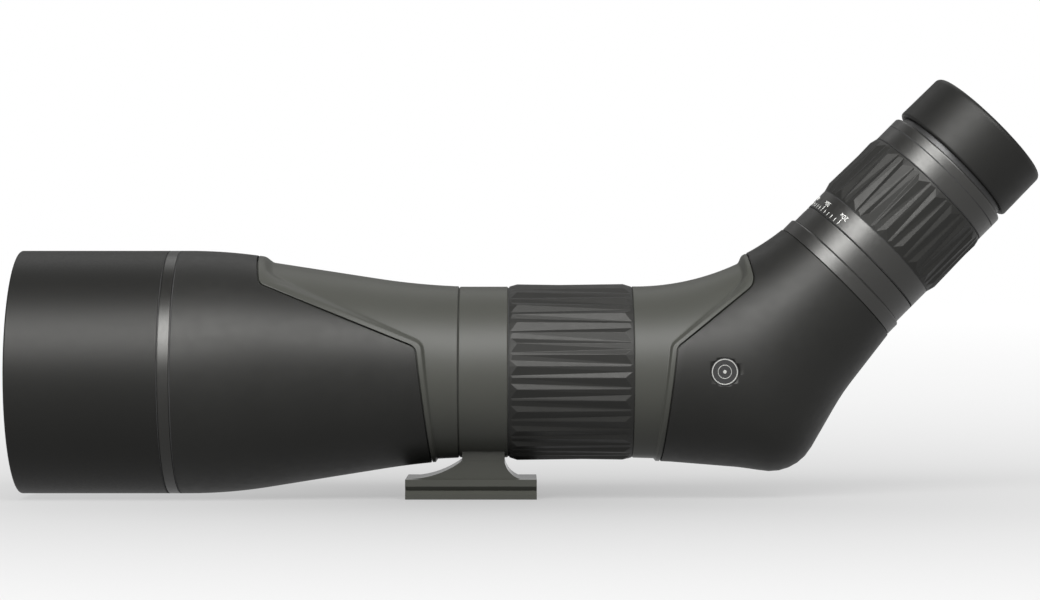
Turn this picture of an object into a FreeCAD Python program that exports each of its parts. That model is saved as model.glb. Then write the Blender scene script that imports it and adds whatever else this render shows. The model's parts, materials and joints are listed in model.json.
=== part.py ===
import FreeCAD, Part

# Angled spotting scope with an 80 mm objective, a zoom eyepiece and a dovetail tripod foot.
#
# Frame: +X runs from the objective to the eyepiece, +Z is up, and the origin is the centre of the
# foot's flat underside, at the mouth of the tripod thread. The optical axis lies axis_height above
# it. Everything turned about that axis is drawn with stations, measured from the hood's front rim.
# Everything turned about the eyepiece axis is drawn with distances from the elbow, the point where
# the two axes cross.

import math
import os
import re

import Sketcher
from FreeCAD import Placement, Rotation, Vector

SIZES = {
    # Optical axis, elbow and fan
    "axis_height": 50.4,
    "rim_to_foot": 181.7,
    "elbow_x": 110.5,
    "fan_x": 64.7,
    "fan_z": 168.8,
    # Sliding hood
    "hood_length": 59.5,
    "hood_radius": 49.0,
    "hood_bore": 46.6,
    "hood_lip": 46.38,
    "hood_edge": 0.7,
    # Objective cell: the hood slides on its sleeve
    "sleeve_radius": 46.3,
    "cell_front": 10.0,
    "cell_mouth": 43.2,
    "lens_radius": 41.5,
    "lens_stop": 39.7,
    "seat_front": 22.0,
    "seat_back": 45.5,
    "spigot_radius": 44.4,
    "spigot_end": 78.0,
    "band_front": 15.0,
    "band_back": 18.0,
    "band_floor": 44.9,
    "band_radius": 46.55,
    "cell_step_front": 50.0,
    "cell_step_back": 52.0,
    "cell_back_bore": 42.0,
    # Objective lenses, their spacer and retaining ring
    "retainer_front": 23.4,
    "retainer_back": 28.3,
    "retainer_bore": 39.9,
    "crown_front": 25.2,
    "crown_back": 40.0,
    "spacer_front": 35.5,
    "spacer_back": 36.15,
    "spacer_bore": 40.4,
    "flint_front": 41.0,
    # Name ring between the hood and the barrel
    "ring_front": 59.75,
    "ring_back": 64.8,
    "ring_edge": 0.4,
    "ring_groove": 48.5,
    # Front barrel and its armour
    "barrel_radius": 47.0,
    "barrel_end": 176.6,
    "barrel_bend": 204.0,
    "barrel_sweep": 286.0,
    "armour_sweep": 300.0,
    "land_start": 2.9,
    "cone_front": 102.7,
    "cone_front_radius": 44.1,
    "cone_back": 142.7,
    "cone_back_radius": 37.95,
    "tail_radius": 34.65,
    "inner_front": 78.5,
    "inner_front_radius": 43.2,
    "inner_middle": 100.0,
    "inner_middle_radius": 41.2,
    "inner_back_radius": 35.2,
    "inner_tail_radius": 31.8,
    "armour_cone_front": 100.2,
    "armour_cone_front_radius": 46.4,
    "armour_cone_back": 146.0,
    "armour_cone_back_radius": 39.08,
    "armour_tail": 170.0,
    "armour_tail_radius": 36.2,
    "window_corner": 4.0,
    # Light baffles
    "baffle_height": 6.75,
    "baffle_gap": 0.25,
    "baffle_thickness": 1.0,
    # Neck tube through collar and focus ring
    "neck_radius": 30.5,
    "neck_bore": 28.6,
    "neck_front": 165.0,
    "neck_back": 256.0,
    "seal_bore": 29.2,
    "seal_width": 1.6,
    # Rotating tripod collar
    "collar_front": 176.85,
    "collar_back": 196.45,
    "collar_radius": 34.5,
    "collar_bore": 31.0,
    "collar_slip": 30.56,
    # Dovetail foot and stem
    "foot_length": 52.5,
    "foot_half_width": 19.0,
    "foot_height": 7.9,
    "foot_lower_lip": 1.95,
    "foot_waist": 17.45,
    "foot_waist_bottom": 3.5,
    "foot_upper_lip": 5.2,
    "stem_half_width": 14.0,
    "stem_root": 5.0,
    "stem_top": 30.0,
    "stem_front": -3.6,
    "stem_back": 13.4,
    "stem_toe_front": -25.2,
    "stem_toe_back": 19.6,
    "thread_bush_radius": 5.0,
    "thread_bush_length": 9.5,
    "thread_radius": 2.55,
    # Collar lock on the far side
    "lock_x": 4.95,
    "boss_radius": 8.5,
    "boss_end": 38.5,
    "shoe_radius": 5.5,
    "shoe_face": 30.56,
    "shoe_back": 33.9,
    "shoe_pocket_end": 34.6,
    "stud_radius": 3.0,
    "lock_bush_radius": 6.0,
    "knob_radius": 9.5,
    "knob_front": 38.9,
    "knob_back": 47.6,
    "flute_radius": 2.6,
    "flute_out": 1.6,
    # Focus ring
    "focus_front": 196.9,
    "focus_back": 246.2,
    "focus_core": 33.4,
    "focus_slip": 30.58,
    "focus_end_radius": 34.5,
    "focus_ridge": 35.65,
    "focus_fade": 34.95,
    "focus_valley": 34.7,
    "focus_front_bevel": 3.4,
    "focus_back_bevel": 3.7,
    "focus_track_front": 212.0,
    "focus_track_back": 232.0,
    "focus_track_floor": 32.4,
    # Focusing lens group inside the neck
    "focus_pin_at": 222.0,
    "focus_pin_radius": 2.0,
    "focus_cell_radius": 28.55,
    "focus_lens_radius": 24.5,
    "focus_cell_half": 8.0,
    "focus_seat": 6.2,
    # Prism housing and rear armour
    "housing_end": 51.35,
    "top_arc_radius": 98.0,
    "top_arc_x": 66.0,
    "top_arc_z": 183.0,
    "side_start": 35.4,
    "side_end": 29.8,
    "skin_start": 1.0,
    "skin_end": 2.2,
    "housing_wall": 2.8,
    "rear_bore": 24.0,
    "prism_half_width": 16.0,
    "badge_radius": 5.5,
    "badge_x": 100.1,
    "badge_z": 51.25,
    "badge_face": 35.1,
    "badge_thickness": 1.8,
    # Eyepiece, fixed parts
    "lock_ring_radius": 29.8,
    "lock_ring_back": 57.3,
    "base_back": 65.7,
    "band_outer": 28.8,
    "tube_front": 47.0,
    "tube_back": 129.0,
    "tube_radius": 22.0,
    "tube_bore": 20.2,
    "rear_shell_front": 104.7,
    "rear_shell_back": 111.6,
    "stop_ring_back": 116.1,
    "cup_clearance": 26.6,
    "eye_lens_radius": 13.5,
    "eye_lens_front": 118.0,
    "eye_lens_back": 127.0,
    "eye_cell_front": 117.0,
    "eye_cell_mouth": 17.0,
    "field_lens_front": 50.0,
    "field_lens_back": 55.0,
    # Zoom ring
    "zoom_front": 65.95,
    "zoom_grip_front": 74.7,
    "zoom_back": 104.4,
    "zoom_core": 27.6,
    "zoom_slip": 24.65,
    "zoom_end_radius": 28.8,
    "zoom_ridge": 29.9,
    "zoom_fade": 29.2,
    "zoom_valley": 28.95,
    "zoom_front_bevel": 4.0,
    "zoom_back_bevel": 3.7,
    "cam_front": 68.0,
    "cam_back": 102.0,
    "cam_radius": 24.65,
    "cam_slip": 22.06,
    "cam_floor": 23.9,
    "cam_track_half": 6.5,
    "zoom_cell_radius": 20.14,
    "front_pin_at": 78.0,
    "rear_pin_at": 94.0,
    "zoom_pin_radius": 1.5,
    "zoom_cell_half": 4.0,
    "zoom_lens_radius": 15.5,
    "zoom_lens_stop": 14.0,
    "zoom_lens_seat": 2.5,
    # Twist-up eyecup
    "guide_front": 110.0,
    "guide_back": 113.5,
    "guide_bore": 22.08,
    "guide_radius": 24.2,
    "cup_sleeve_front": 107.2,
    "cup_sleeve_back": 136.0,
    "cup_sleeve_bore": 24.3,
    "cup_sleeve_radius": 26.4,
    "cup_front": 118.3,
    "cup_back": 139.9,
    "cup_radius": 28.8,
    "cup_mouth": 21.5,
}

ELBOW_ANGLE = 45
FAN_STEP = 2.5
FOCUS_RIDGES = 24
ZOOM_RIDGES = 20
BAFFLE_STATIONS = (96.0, 120.0, 141.0)
KNOB_FLUTES = 10

# Where the armour leaves the castings bare, in the side view (x, z), and the corners to round.
# A recess lies inside its window and leaves a raised land along the armour's edge.
FRONT_WINDOW = [(-88.4, 110), (-84, 86.06), (-21.9, 60.8), (-14.4, 0), (20, 0), (20, 110)]
FRONT_RECESS = [(-84.4, 110), (-80.1, 88.6), (-19.1, 62.6), (-12.6, 0), (20, 0), (20, 110)]
REAR_WINDOW = [(40, 0), (74.5, 0), (82.0, 60.9), (113.4, 86.1), (110.5, 102), (110.5, 120), (40, 120)]
REAR_RECESS = [(40, 0), (72, 0), (79.5, 61.9), (110, 86.4), (107.4, 98), (107.4, 120), (40, 120)]

# The armour's lower outline round the heel, in the side view, and the radii of its inner corners
HEEL_CORNERS = ((64.5, 14.82), (80.0, 14.2), (108.5, 11.9), (130.6, 8.6), (149.6, 41.6), (170.0, 67.9))
HEEL_RADII = (60.0, 60.0, 19.0, 90.0)

# Roof prism and cradle in the side view
PRISM_FACES = [(96.7, 79), (96.7, 25.7), (137.7, 42.7), (101.4, 79)]
CRADLE_SIDE = [(98, 77.6), (98, 28), (102, 25.2), (134, 38.5), (134, 45), (101.4, 77.6)]
CRADLE_ROOM = [(94, 82), (94, 20), (140, 20), (140, 50), (101.4, 89)]
CRADLE_BAR = [(104, 27.0), (130, 37.8), (130, 34.6), (104, 23.8)]
CRADLE_SCREWS = [(108.0, 32.0), (122.0, 41.0)]

# Each grip: its ends, phase and, in degrees into a pitch, its ridge, valley, fade and valley lines
FOCUS_GRIP = dict(front="focus_front", back="focus_back", count=FOCUS_RIDGES, phase=5.0,
                  front_angles=(0, 6.0, 7.5, 11.2), back_angles=(0, 3.75, 7.5, 13.7))
ZOOM_GRIP = dict(front="zoom_grip_front", back="zoom_back", count=ZOOM_RIDGES, phase=4.4,
                 front_angles=(0, 7.2, 9.0, 13.4), back_angles=(0, 4.5, 9.0, 16.4))

doc = FreeCAD.newDocument("spotting_scope")
nodes = {}


def make_sheet():
    """Put every driving dimension into a spreadsheet cell that carries its name."""
    sheet = doc.addObject("Spreadsheet::Sheet", "dims")
    for row, (alias, size) in enumerate(SIZES.items(), start=1):
        sheet.set("A%d" % row, alias)
        sheet.set("B%d" % row, str(size))
        sheet.setAlias("B%d" % row, alias)
    doc.recompute()
    return sheet


dims = make_sheet()


def mm(words):
    """Add up a sum of cell names and numbers, such as 'hood_length - 2'."""
    total = 0.0
    for sign, term in re.findall(r"([+-]?)\s*([\w.]+)", str(words)):
        size = dims.get(term) if term in SIZES else float(term)
        total += -size if sign == "-" else size
    return total


def bound(words):
    """The same sum as an expression on the sheet."""
    return re.sub(r"[a-z]\w*", lambda name: "dims." + name.group(), str(words))


def bind(thing, prop, words):
    """Set one size of an object from a sum of cells."""
    thing.setExpression(prop, bound(words))


# ---------------------------------------------------------------- placing

def on_main_axis(thing):
    """Local x is the station from the hood's rim, local z the height above the optical axis."""
    thing.Placement = Placement(Vector(-mm("rim_to_foot"), 0, mm("axis_height")), Rotation())
    bind(thing, "Placement.Base.x", "0 - rim_to_foot")
    bind(thing, "Placement.Base.z", "axis_height")


def on_eyepiece_axis(thing):
    """Local x is the distance from the elbow along the eyepiece axis."""
    tilt = Rotation(Vector(0, 1, 0), -ELBOW_ANGLE)
    thing.Placement = Placement(Vector(mm("elbow_x"), 0, mm("axis_height")), tilt)
    bind(thing, "Placement.Base.x", "elbow_x")
    bind(thing, "Placement.Base.z", "axis_height")


def in_row_frame(thing):
    """The sub-part is drawn straight in the object's own frame."""
    thing.Placement = Placement()


# ---------------------------------------------------------------- drawing

def origin_plane(body, role):
    return [plane for plane in body.Origin.OriginFeatures if plane.Role == role][0]


def arc_between(start, end, radius, hollow):
    """A short arc; a crowned one bulges to the left of its way, a hollow one to the right."""
    chord = end - start
    middle = (start + end) * 0.5
    left = Vector(-chord.y, chord.x, 0).normalize()
    rise = math.sqrt(radius * radius - chord.Length * chord.Length / 4)
    centre = middle + left * (rise if hollow else -rise)
    angle_of = lambda point: math.atan2(point.y - centre.y, point.x - centre.x)
    first, last = (start, end) if hollow else (end, start)
    circle = Part.Circle(centre, Vector(0, 0, 1), radius)
    return Part.ArcOfCircle(circle, angle_of(first), angle_of(last))


def draw(sketch, outline):
    """Draw a closed outline and tie each of its points to the sheet.

    A point is (x, y), reached by a straight line, or (x, y, radius, "crowned" or "hollow"),
    reached by an arc from the point before it.
    """
    points = [Vector(mm(point[0]), mm(point[1]), 0) for point in outline]
    count = len(points)
    curves = []
    ends = []
    for index, start in enumerate(points):
        target = outline[(index + 1) % count]
        end = points[(index + 1) % count]
        if len(target) == 2:
            curves.append(Part.LineSegment(start, end))
            ends.append((1, 2))
        else:
            hollow = target[3] == "hollow"
            curves.append(arc_between(start, end, mm(target[2]), hollow))
            ends.append((1, 2) if hollow else (2, 1))
    sketch.addGeometry(curves, False)
    rules = []
    names = []
    for index in range(count):
        following = (index + 1) % count
        rules.append(Sketcher.Constraint("Coincident", index, ends[index][1], following, ends[following][0]))
        names.append(None)
    for index, point in enumerate(outline):
        rules.append(Sketcher.Constraint("DistanceX", -1, 1, index, ends[index][0], points[index].x))
        names.append(point[0])
        rules.append(Sketcher.Constraint("DistanceY", -1, 1, index, ends[index][0], points[index].y))
        names.append(point[1])
    for index in range(count):
        target = outline[(index + 1) % count]
        if len(target) == 4:
            rules.append(Sketcher.Constraint("Radius", index, mm(target[2])))
            names.append(target[2])
    sketch.addConstraint(rules)
    for index, words in enumerate(names):
        if re.search(r"[a-z]", str(words or "")):
            sketch.setExpression("Constraints[%d]" % index, bound(words))


def sketched_body(label, outline, role):
    body = doc.addObject("PartDesign::Body", label)
    sketch = body.newObject("Sketcher::SketchObject", label + "_outline")
    sketch.AttachmentSupport = (origin_plane(body, role), [""])
    sketch.MapMode = "FlatFace"
    draw(sketch, outline)
    return body, sketch


def turned(label, outline, place=on_main_axis):
    """A body of revolution: the outline's x runs along the axis and its y is a radius."""
    body, sketch = sketched_body(label, outline, "XZ_Plane")
    turn = body.newObject("PartDesign::Revolution", label + "_turn")
    turn.Profile = sketch
    turn.ReferenceAxis = (sketch, ["H_Axis"])
    turn.Angle = 360
    place(body)
    return body


def padded(label, outline, length, place=in_row_frame, role="XZ_Plane"):
    """A plate of even thickness, to both sides of the plane it is drawn in."""
    body, sketch = sketched_body(label, outline, role)
    pad = body.newObject("PartDesign::Pad", label + "_pad")
    pad.Profile = sketch
    pad.Midplane = True
    pad.Length = mm(length)
    if re.search(r"[a-z]", str(length)):
        bind(pad, "Length", length)
    place(body)
    return body


def rounded(body, radius, is_chosen, kind="Fillet"):
    """Round or bevel the edges of the body's last feature that is_chosen picks out."""
    doc.recompute()
    base = body.Tip
    picked = ["Edge%d" % number for number, edge in enumerate(base.Shape.Edges, start=1) if is_chosen(edge)]
    if not picked:
        raise RuntimeError("no edge to round on " + body.Label)
    feature = body.newObject("PartDesign::" + kind, body.Label + "_" + kind.lower())
    feature.Base = (base, picked)
    prop = "Radius" if kind == "Fillet" else "Size"
    setattr(feature, prop, mm(radius))
    if re.search(r"[a-z]", str(radius)):
        bind(feature, prop, radius)
    return body


def circle_at(station, radius):
    """Picks the circular edge at a station with a radius."""
    def chosen(edge):
        curve = edge.Curve
        if not isinstance(curve, Part.Circle):
            return False
        return abs(curve.Radius - mm(radius)) < 0.01 and abs(curve.Center.x - mm(station)) < 0.01
    return chosen


def corner_at(x, z):
    """Picks the straight edge that runs across the plate at a corner of its outline."""
    def chosen(edge):
        middle = edge.CenterOfMass
        return abs(middle.x - mm(x)) < 0.05 and abs(middle.z - mm(z)) < 0.05
    return chosen


def cylinder(label, radius, height, at, along):
    """A plain round blank that starts at a point and runs along a direction."""
    blank = doc.addObject("Part::Cylinder", label)
    blank.Radius = mm(radius)
    blank.Height = mm(height)
    if re.search(r"[a-z]", str(radius)):
        bind(blank, "Radius", radius)
    if re.search(r"[a-z]", str(height)):
        bind(blank, "Height", height)
    blank.Placement = Placement(at, Rotation(Vector(0, 0, 1), along))
    return blank


def box(label, length, width, height, centre, tilt=None):
    """A plain block given by its centre."""
    blank = doc.addObject("Part::Box", label)
    blank.Length = length
    blank.Width = width
    blank.Height = height
    turn = tilt or Rotation()
    blank.Placement = Placement(centre - turn.multVec(Vector(length, width, height) * 0.5), turn)
    return blank


def boolean(kind, label, base, tool):
    result = doc.addObject("Part::" + kind, label)
    result.Base = base
    result.Tool = tool
    return result


def cut(label, base, tool):
    return boolean("Cut", label, base, tool)


def fuse(label, base, tool):
    return boolean("Fuse", label, base, tool)


def common(label, base, tool):
    return boolean("Common", label, base, tool)


def cut_all(label, base, tools):
    for number, tool in enumerate(tools[:-1]):
        base = cut("%s_cut_%d" % (label, number), base, tool)
    return cut(label, base, tools[-1])


def keep(thing):
    nodes[thing.Label] = thing
    return thing


def main_point(station, y=0.0, height=0.0):
    return Vector(station - mm("rim_to_foot"), y, mm("axis_height") + height)


def eyepiece_point(distance, y=0.0, height=0.0):
    turn = Rotation(Vector(0, 1, 0), -ELBOW_ANGLE)
    return Vector(mm("elbow_x"), 0, mm("axis_height")) + turn.multVec(Vector(distance, y, height))


def ball(label, radius, centre):
    sphere = doc.addObject("Part::Sphere", label)
    sphere.Radius = radius
    sphere.Placement = Placement(centre, Rotation())
    return sphere


def lens(label, radius, front, back, front_curve, back_curve, place=on_main_axis):
    """A lens between two vertices on the axis; a negative curve is hollow and a zero one flat."""
    def sag(curve):
        size = abs(curve)
        return math.copysign(size - math.sqrt(size * size - mm(radius) ** 2), curve) if size else 0.0

    def arrive(x, y, curve):
        if curve == 0:
            return (x, y)
        return (x, y, abs(curve), "crowned" if curve > 0 else "hollow")

    return turned(label, [
        (front, 0),
        arrive(front + sag(front_curve), radius, front_curve),
        (back - sag(back_curve), radius),
        arrive(back, 0, back_curve),
    ], place)


# ---------------------------------------------------------------- hood and objective

def make_hood():
    """A plain aluminium tube that slides on the sleeve; a lip at its back keeps it on."""
    hood = turned("sunshade", [
        (0, "hood_bore + 0.6"),
        (0, "hood_radius"),
        ("hood_length", "hood_radius"),
        ("hood_length", "hood_lip"),
        ("hood_length - 2", "hood_lip"),
        ("hood_length - 2.3", "hood_bore"),
        (3, "hood_bore"),
    ])
    keep(rounded(hood, "hood_edge", circle_at(0, "hood_radius")))


def make_objective():
    """The cell with its doublet, spacer, retaining ring and the band that the hood rubs on."""
    cell = turned("objective_cell", [
        ("cell_front", "cell_mouth"),
        ("cell_front", "sleeve_radius"),
        ("band_front", "sleeve_radius"),
        ("band_front", "band_floor"),
        ("band_back", "band_floor"),
        ("band_back", "sleeve_radius"),
        ("ring_back", "sleeve_radius"),
        ("ring_back", "spigot_radius"),
        ("spigot_end", "spigot_radius"),
        ("spigot_end", "cell_back_bore"),
        ("cell_step_back", "cell_back_bore"),
        ("cell_step_front", "lens_stop"),
        ("seat_back", "lens_stop"),
        ("seat_back", "lens_radius"),
        ("seat_front", "lens_radius"),
        ("seat_front - 2", "cell_mouth"),
    ])
    keep(rounded(cell, 0.5, circle_at("cell_front", "sleeve_radius"), "Chamfer"))
    keep(turned("hood_friction_band", [
        ("band_front", "band_floor"),
        ("band_front", "band_radius - 0.4"),
        ("band_front + 0.8", "band_radius"),
        ("band_back - 0.8", "band_radius"),
        ("band_back", "band_radius - 0.4"),
        ("band_back", "band_floor"),
    ]))
    keep(turned("objective_retaining_ring", [
        ("retainer_front", "retainer_bore"),
        ("retainer_front", "lens_radius"),
        ("retainer_back", "lens_radius"),
        ("retainer_back", "retainer_bore"),
    ]))
    keep(lens("objective_crown_lens", "lens_radius", mm("crown_front"), mm("crown_back"), 240, 180))
    keep(turned("objective_spacer_ring", [
        ("spacer_front", "spacer_bore"),
        ("spacer_front", "lens_radius"),
        ("spacer_back", "lens_radius"),
        ("spacer_back", "spacer_bore"),
    ]))
    keep(lens("objective_flint_lens", "lens_radius", mm("flint_front"), mm("seat_back"), -182, 0))
    keep(turned("name_ring", [
        ("ring_front", "sleeve_radius"),
        ("ring_front", "ring_groove"),
        ("ring_front + ring_edge", "ring_groove"),
        ("ring_front + ring_edge", "hood_radius - 0.1"),
        ("ring_front + ring_edge + 0.1", "hood_radius"),
        ("ring_back - ring_edge - 0.1", "hood_radius"),
        ("ring_back - ring_edge", "hood_radius - 0.1"),
        ("ring_back - ring_edge", "ring_groove"),
        ("ring_back", "ring_groove"),
        ("ring_back", "sleeve_radius"),
    ]))


# ---------------------------------------------------------------- front barrel and armour

def window(label, points, corners):
    """The region of the side view that the armour leaves bare, as a plate across the whole width."""
    plate = padded(label, points, 120)
    for x, z in corners:
        rounded(plate, "window_corner", corner_at(x, z))
    return plate


def make_front_barrel():
    """The tapered casting with a raised land along the armour's edge, and the armour around it."""
    casting = turned("front_casting", [
        ("ring_back", "spigot_radius"),
        ("ring_back", "barrel_radius"),
        ("ring_back + land_start", "barrel_radius"),
        ("cone_front", "cone_front_radius", "barrel_bend", "crowned"),
        ("cone_back", "cone_back_radius"),
        ("barrel_end", "tail_radius", "barrel_sweep", "hollow"),
        ("barrel_end", "neck_radius"),
        ("neck_front", "neck_radius"),
        ("neck_front", "inner_tail_radius"),
        ("cone_back", "inner_back_radius"),
        ("inner_middle", "inner_middle_radius"),
        ("inner_front", "inner_front_radius"),
        ("inner_front", "spigot_radius"),
    ])
    blank = turned("front_armour_blank", [
        ("ring_back", "barrel_radius - 1.2"),
        ("ring_back", "hood_radius"),
        ("ring_back + land_start", "hood_radius"),
        ("armour_cone_front", "armour_cone_front_radius", "barrel_bend", "crowned"),
        ("armour_cone_back", "armour_cone_back_radius"),
        ("armour_tail", "armour_tail_radius", "armour_sweep", "hollow"),
        ("armour_tail", "armour_tail_radius - 1.8"),
        ("armour_cone_back", "armour_cone_back_radius - 2.68"),
        ("cone_front", "cone_front_radius - 1.1"),
    ])
    bare = window("front_window", FRONT_WINDOW, FRONT_WINDOW[1:3])
    recess = window("front_recess", FRONT_RECESS, FRONT_RECESS[1:3])
    land = cut("front_land", common("front_land_blank", blank, bare), recess)
    keep(fuse("front_barrel", casting, land))
    keep(cut_all("front_armour", blank, [bare, casting]))


def barrel_bore(station):
    """The front casting's inner radius, which falls along two cones."""
    front, middle, back = mm("inner_front"), mm("inner_middle"), mm("cone_back")
    if station < middle:
        share = (station - front) / (middle - front)
        return mm("inner_front_radius") + share * mm("inner_middle_radius - inner_front_radius")
    share = (station - middle) / (back - middle)
    return mm("inner_middle_radius") + share * mm("inner_back_radius - inner_middle_radius")


def make_baffles():
    """Thin blackened rings pressed into the barrel that stop stray light."""
    rings = []
    for number, station in enumerate(BAFFLE_STATIONS):
        back = station + mm("baffle_thickness")
        outer = barrel_bore(back) - mm("baffle_gap") / 2
        inner = outer - mm("baffle_height")
        rings.append(turned("baffle_%d" % number, [
            (station, inner),
            (station, outer),
            (back, outer),
            (back, inner),
        ]))
    group = doc.addObject("Part::Compound", "light_baffles")
    group.Links = rings
    keep(group)


def make_neck():
    """The tube that carries the collar and the focus ring, with a slot for the focusing pin."""
    tube = turned("neck_blank", [
        ("neck_front", "neck_bore"),
        ("neck_front", "neck_radius"),
        ("neck_back", "neck_radius"),
        ("neck_back", "neck_bore"),
    ])
    middle = main_point(mm("focus_pin_at"), 0, mm("neck_radius"))
    track = mm("focus_track_back - focus_track_front") - 2
    slot = box("neck_slot", track, 2 * mm("focus_pin_radius") + 0.1, 8, middle)
    keep(cut("neck_tube", tube, slot))
    keep(turned("neck_seal", [
        ("neck_back", "seal_bore"),
        ("neck_back", "neck_radius"),
        ("neck_back + seal_width", "neck_radius"),
        ("neck_back + seal_width", "seal_bore"),
    ]))


# ---------------------------------------------------------------- collar, foot and lock

def make_collar():
    """One casting: the ring that the scope turns in, the stem and the dovetail foot."""
    ring = turned("collar_ring", [
        ("collar_front", "collar_bore"),
        ("collar_front", "collar_radius"),
        ("collar_back", "collar_radius"),
        ("collar_back", "collar_bore"),
    ])
    rounded(ring, 0.4, circle_at("collar_front", "collar_radius"), "Chamfer")
    rounded(ring, 0.4, circle_at("collar_back", "collar_radius"), "Chamfer")
    half = [
        ("foot_half_width", 0),
        ("foot_half_width", "foot_lower_lip"),
        ("foot_waist", "foot_waist_bottom"),
        ("foot_half_width", "foot_upper_lip"),
        ("foot_half_width", "foot_height"),
    ]
    other_half = [("0 - " + y, z) for y, z in reversed(half)]
    plate = padded("foot_plate", half + other_half, "foot_length", role="YZ_Plane")
    stem = padded("foot_stem", [
        ("stem_toe_front", "stem_root"),
        ("stem_toe_front", "foot_height"),
        ("stem_front", 15.2, 36, "hollow"),
        ("stem_front", "stem_top"),
        ("stem_back", "stem_top"),
        ("stem_back", 14.6),
        ("stem_toe_back", "foot_height", 9, "hollow"),
        ("stem_toe_back", "stem_root"),
    ], "stem_half_width + stem_half_width")
    sideways = Vector(0, 1, 0)
    lock_at = Vector(mm("lock_x"), 0, mm("axis_height"))
    boss = cylinder("lock_boss", "boss_radius", "boss_end", lock_at, sideways)
    blank = fuse("collar_blank", fuse("collar_foot", fuse("collar_stem", ring, stem), plate), boss)
    bore = turned("collar_hole", [
        ("collar_front - 20", 0),
        ("collar_front - 20", "collar_bore"),
        ("collar_back + 20", "collar_bore"),
        ("collar_back + 20", 0),
    ])
    shoe_pocket = cylinder("shoe_pocket", "shoe_radius + 0.06", "shoe_pocket_end", lock_at, sideways)
    bush_seat = cylinder("lock_bush_seat", "lock_bush_radius", "boss_end", lock_at, sideways)
    thread_seat = cylinder("thread_seat", "thread_bush_radius", "thread_bush_length", Vector(), Vector(0, 0, 1))
    keep(cut_all("tripod_collar", blank, [bore, shoe_pocket, bush_seat, thread_seat]))
    liner = turned("liner_blank", [
        ("collar_front + 0.2", "collar_slip"),
        ("collar_front + 0.2", "collar_bore"),
        ("collar_back - 0.2", "collar_bore"),
        ("collar_back - 0.2", "collar_slip"),
    ])
    keep(cut("collar_liner", liner, shoe_pocket))
    bush = cylinder("thread_bush_blank", "thread_bush_radius", "thread_bush_length", Vector(), Vector(0, 0, 1))
    thread = cylinder("thread_hole", "thread_radius", 9, Vector(), Vector(0, 0, 1))
    keep(cut("tripod_thread_bush", bush, thread))


def make_lock():
    """The captive knob: its stud runs in a bush and drives the brake shoe against the neck."""
    sideways = Vector(0, 1, 0)
    lock_at = Vector(mm("lock_x"), 0, mm("axis_height"))

    def at(y):
        return lock_at + sideways * mm(y)

    bush = cylinder("lock_bush_blank", "lock_bush_radius", "boss_end - shoe_pocket_end", at("shoe_pocket_end"),
                    sideways)
    bush_hole = cylinder("lock_bush_hole", "stud_radius + 0.06", 20, at("shoe_face"), sideways)
    keep(cut("lock_bush", bush, bush_hole))
    shoe = cylinder("shoe_blank", "shoe_radius", "shoe_back", lock_at, sideways)
    neck_room = turned("shoe_hollow", [
        ("collar_front", 0),
        ("collar_front", "shoe_face"),
        ("collar_back", "shoe_face"),
        ("collar_back", 0),
    ])
    keep(cut_all("brake_shoe", shoe, [neck_room, bush_hole]))
    keep(cylinder("lock_stud", "stud_radius", "knob_back - shoe_face - 2.4", at("shoe_face + 0.6"), sideways))
    knob = cylinder("knob_blank", "knob_radius", "knob_back - knob_front", at("knob_front"), sideways)
    stud_room = cylinder("knob_hole", "stud_radius", "knob_back - knob_front - 1.8", at("knob_front"), sideways)
    knob = cut("knob_cup", knob, stud_room)
    flutes = []
    reach = mm("knob_radius + flute_out")
    for step in range(KNOB_FLUTES):
        angle = 2 * math.pi * step / KNOB_FLUTES
        aside = Vector(reach * math.cos(angle), 0, reach * math.sin(angle))
        start = at("knob_front - 1") + aside
        flutes.append(cylinder("knob_flute_%d" % step, "flute_radius", 12, start, sideways))
    keep(cut_all("collar_lock_knob", knob, flutes))


# ---------------------------------------------------------------- ridged rubber grips

def ridge_wire(label, at, radii, angles, count, phase, place):
    """One end of a grip: four corners to a pitch, going down from a ridge."""
    pitch = 2 * math.pi / count
    corners = []
    for ridge in range(count):
        for angle, radius in zip(angles, radii):
            turn = math.radians(phase) - pitch * ridge - math.radians(angle)
            corners.append(Vector(at, -radius * math.cos(turn), radius * math.sin(turn)))
    wire = doc.addObject("Part::Feature", label)
    wire.Shape = Part.makePolygon(corners + corners[:1])
    place(wire)
    return wire


def ridged_grip(label, prefix, plan, place):
    """A rubber sleeve of long wedges: every ridge is high at one end and fades to the other."""
    high, low, valley = mm(prefix + "_ridge"), mm(prefix + "_fade"), mm(prefix + "_valley")
    front, back = plan["front"], plan["back"]
    front_wire = ridge_wire(label + "_front", mm(front), (high, valley, low, valley), plan["front_angles"],
                            plan["count"], plan["phase"], place)
    back_wire = ridge_wire(label + "_back", mm(back), (low, valley, high, valley), plan["back_angles"],
                           plan["count"], plan["phase"], place)
    wedges = doc.addObject("Part::Loft", label + "_wedges")
    wedges.Sections = [front_wire, back_wire]
    wedges.Solid = True
    wedges.Ruled = True
    end_radius = prefix + "_end_radius"
    envelope = turned(label + "_envelope", [
        (front, prefix + "_core"),
        (front, end_radius),
        (front + " + " + prefix + "_front_bevel", prefix + "_ridge"),
        (back + " - " + prefix + "_back_bevel", prefix + "_ridge"),
        (back, end_radius),
        (back, prefix + "_core"),
    ], place)
    keep(common(label, wedges, envelope))


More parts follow.
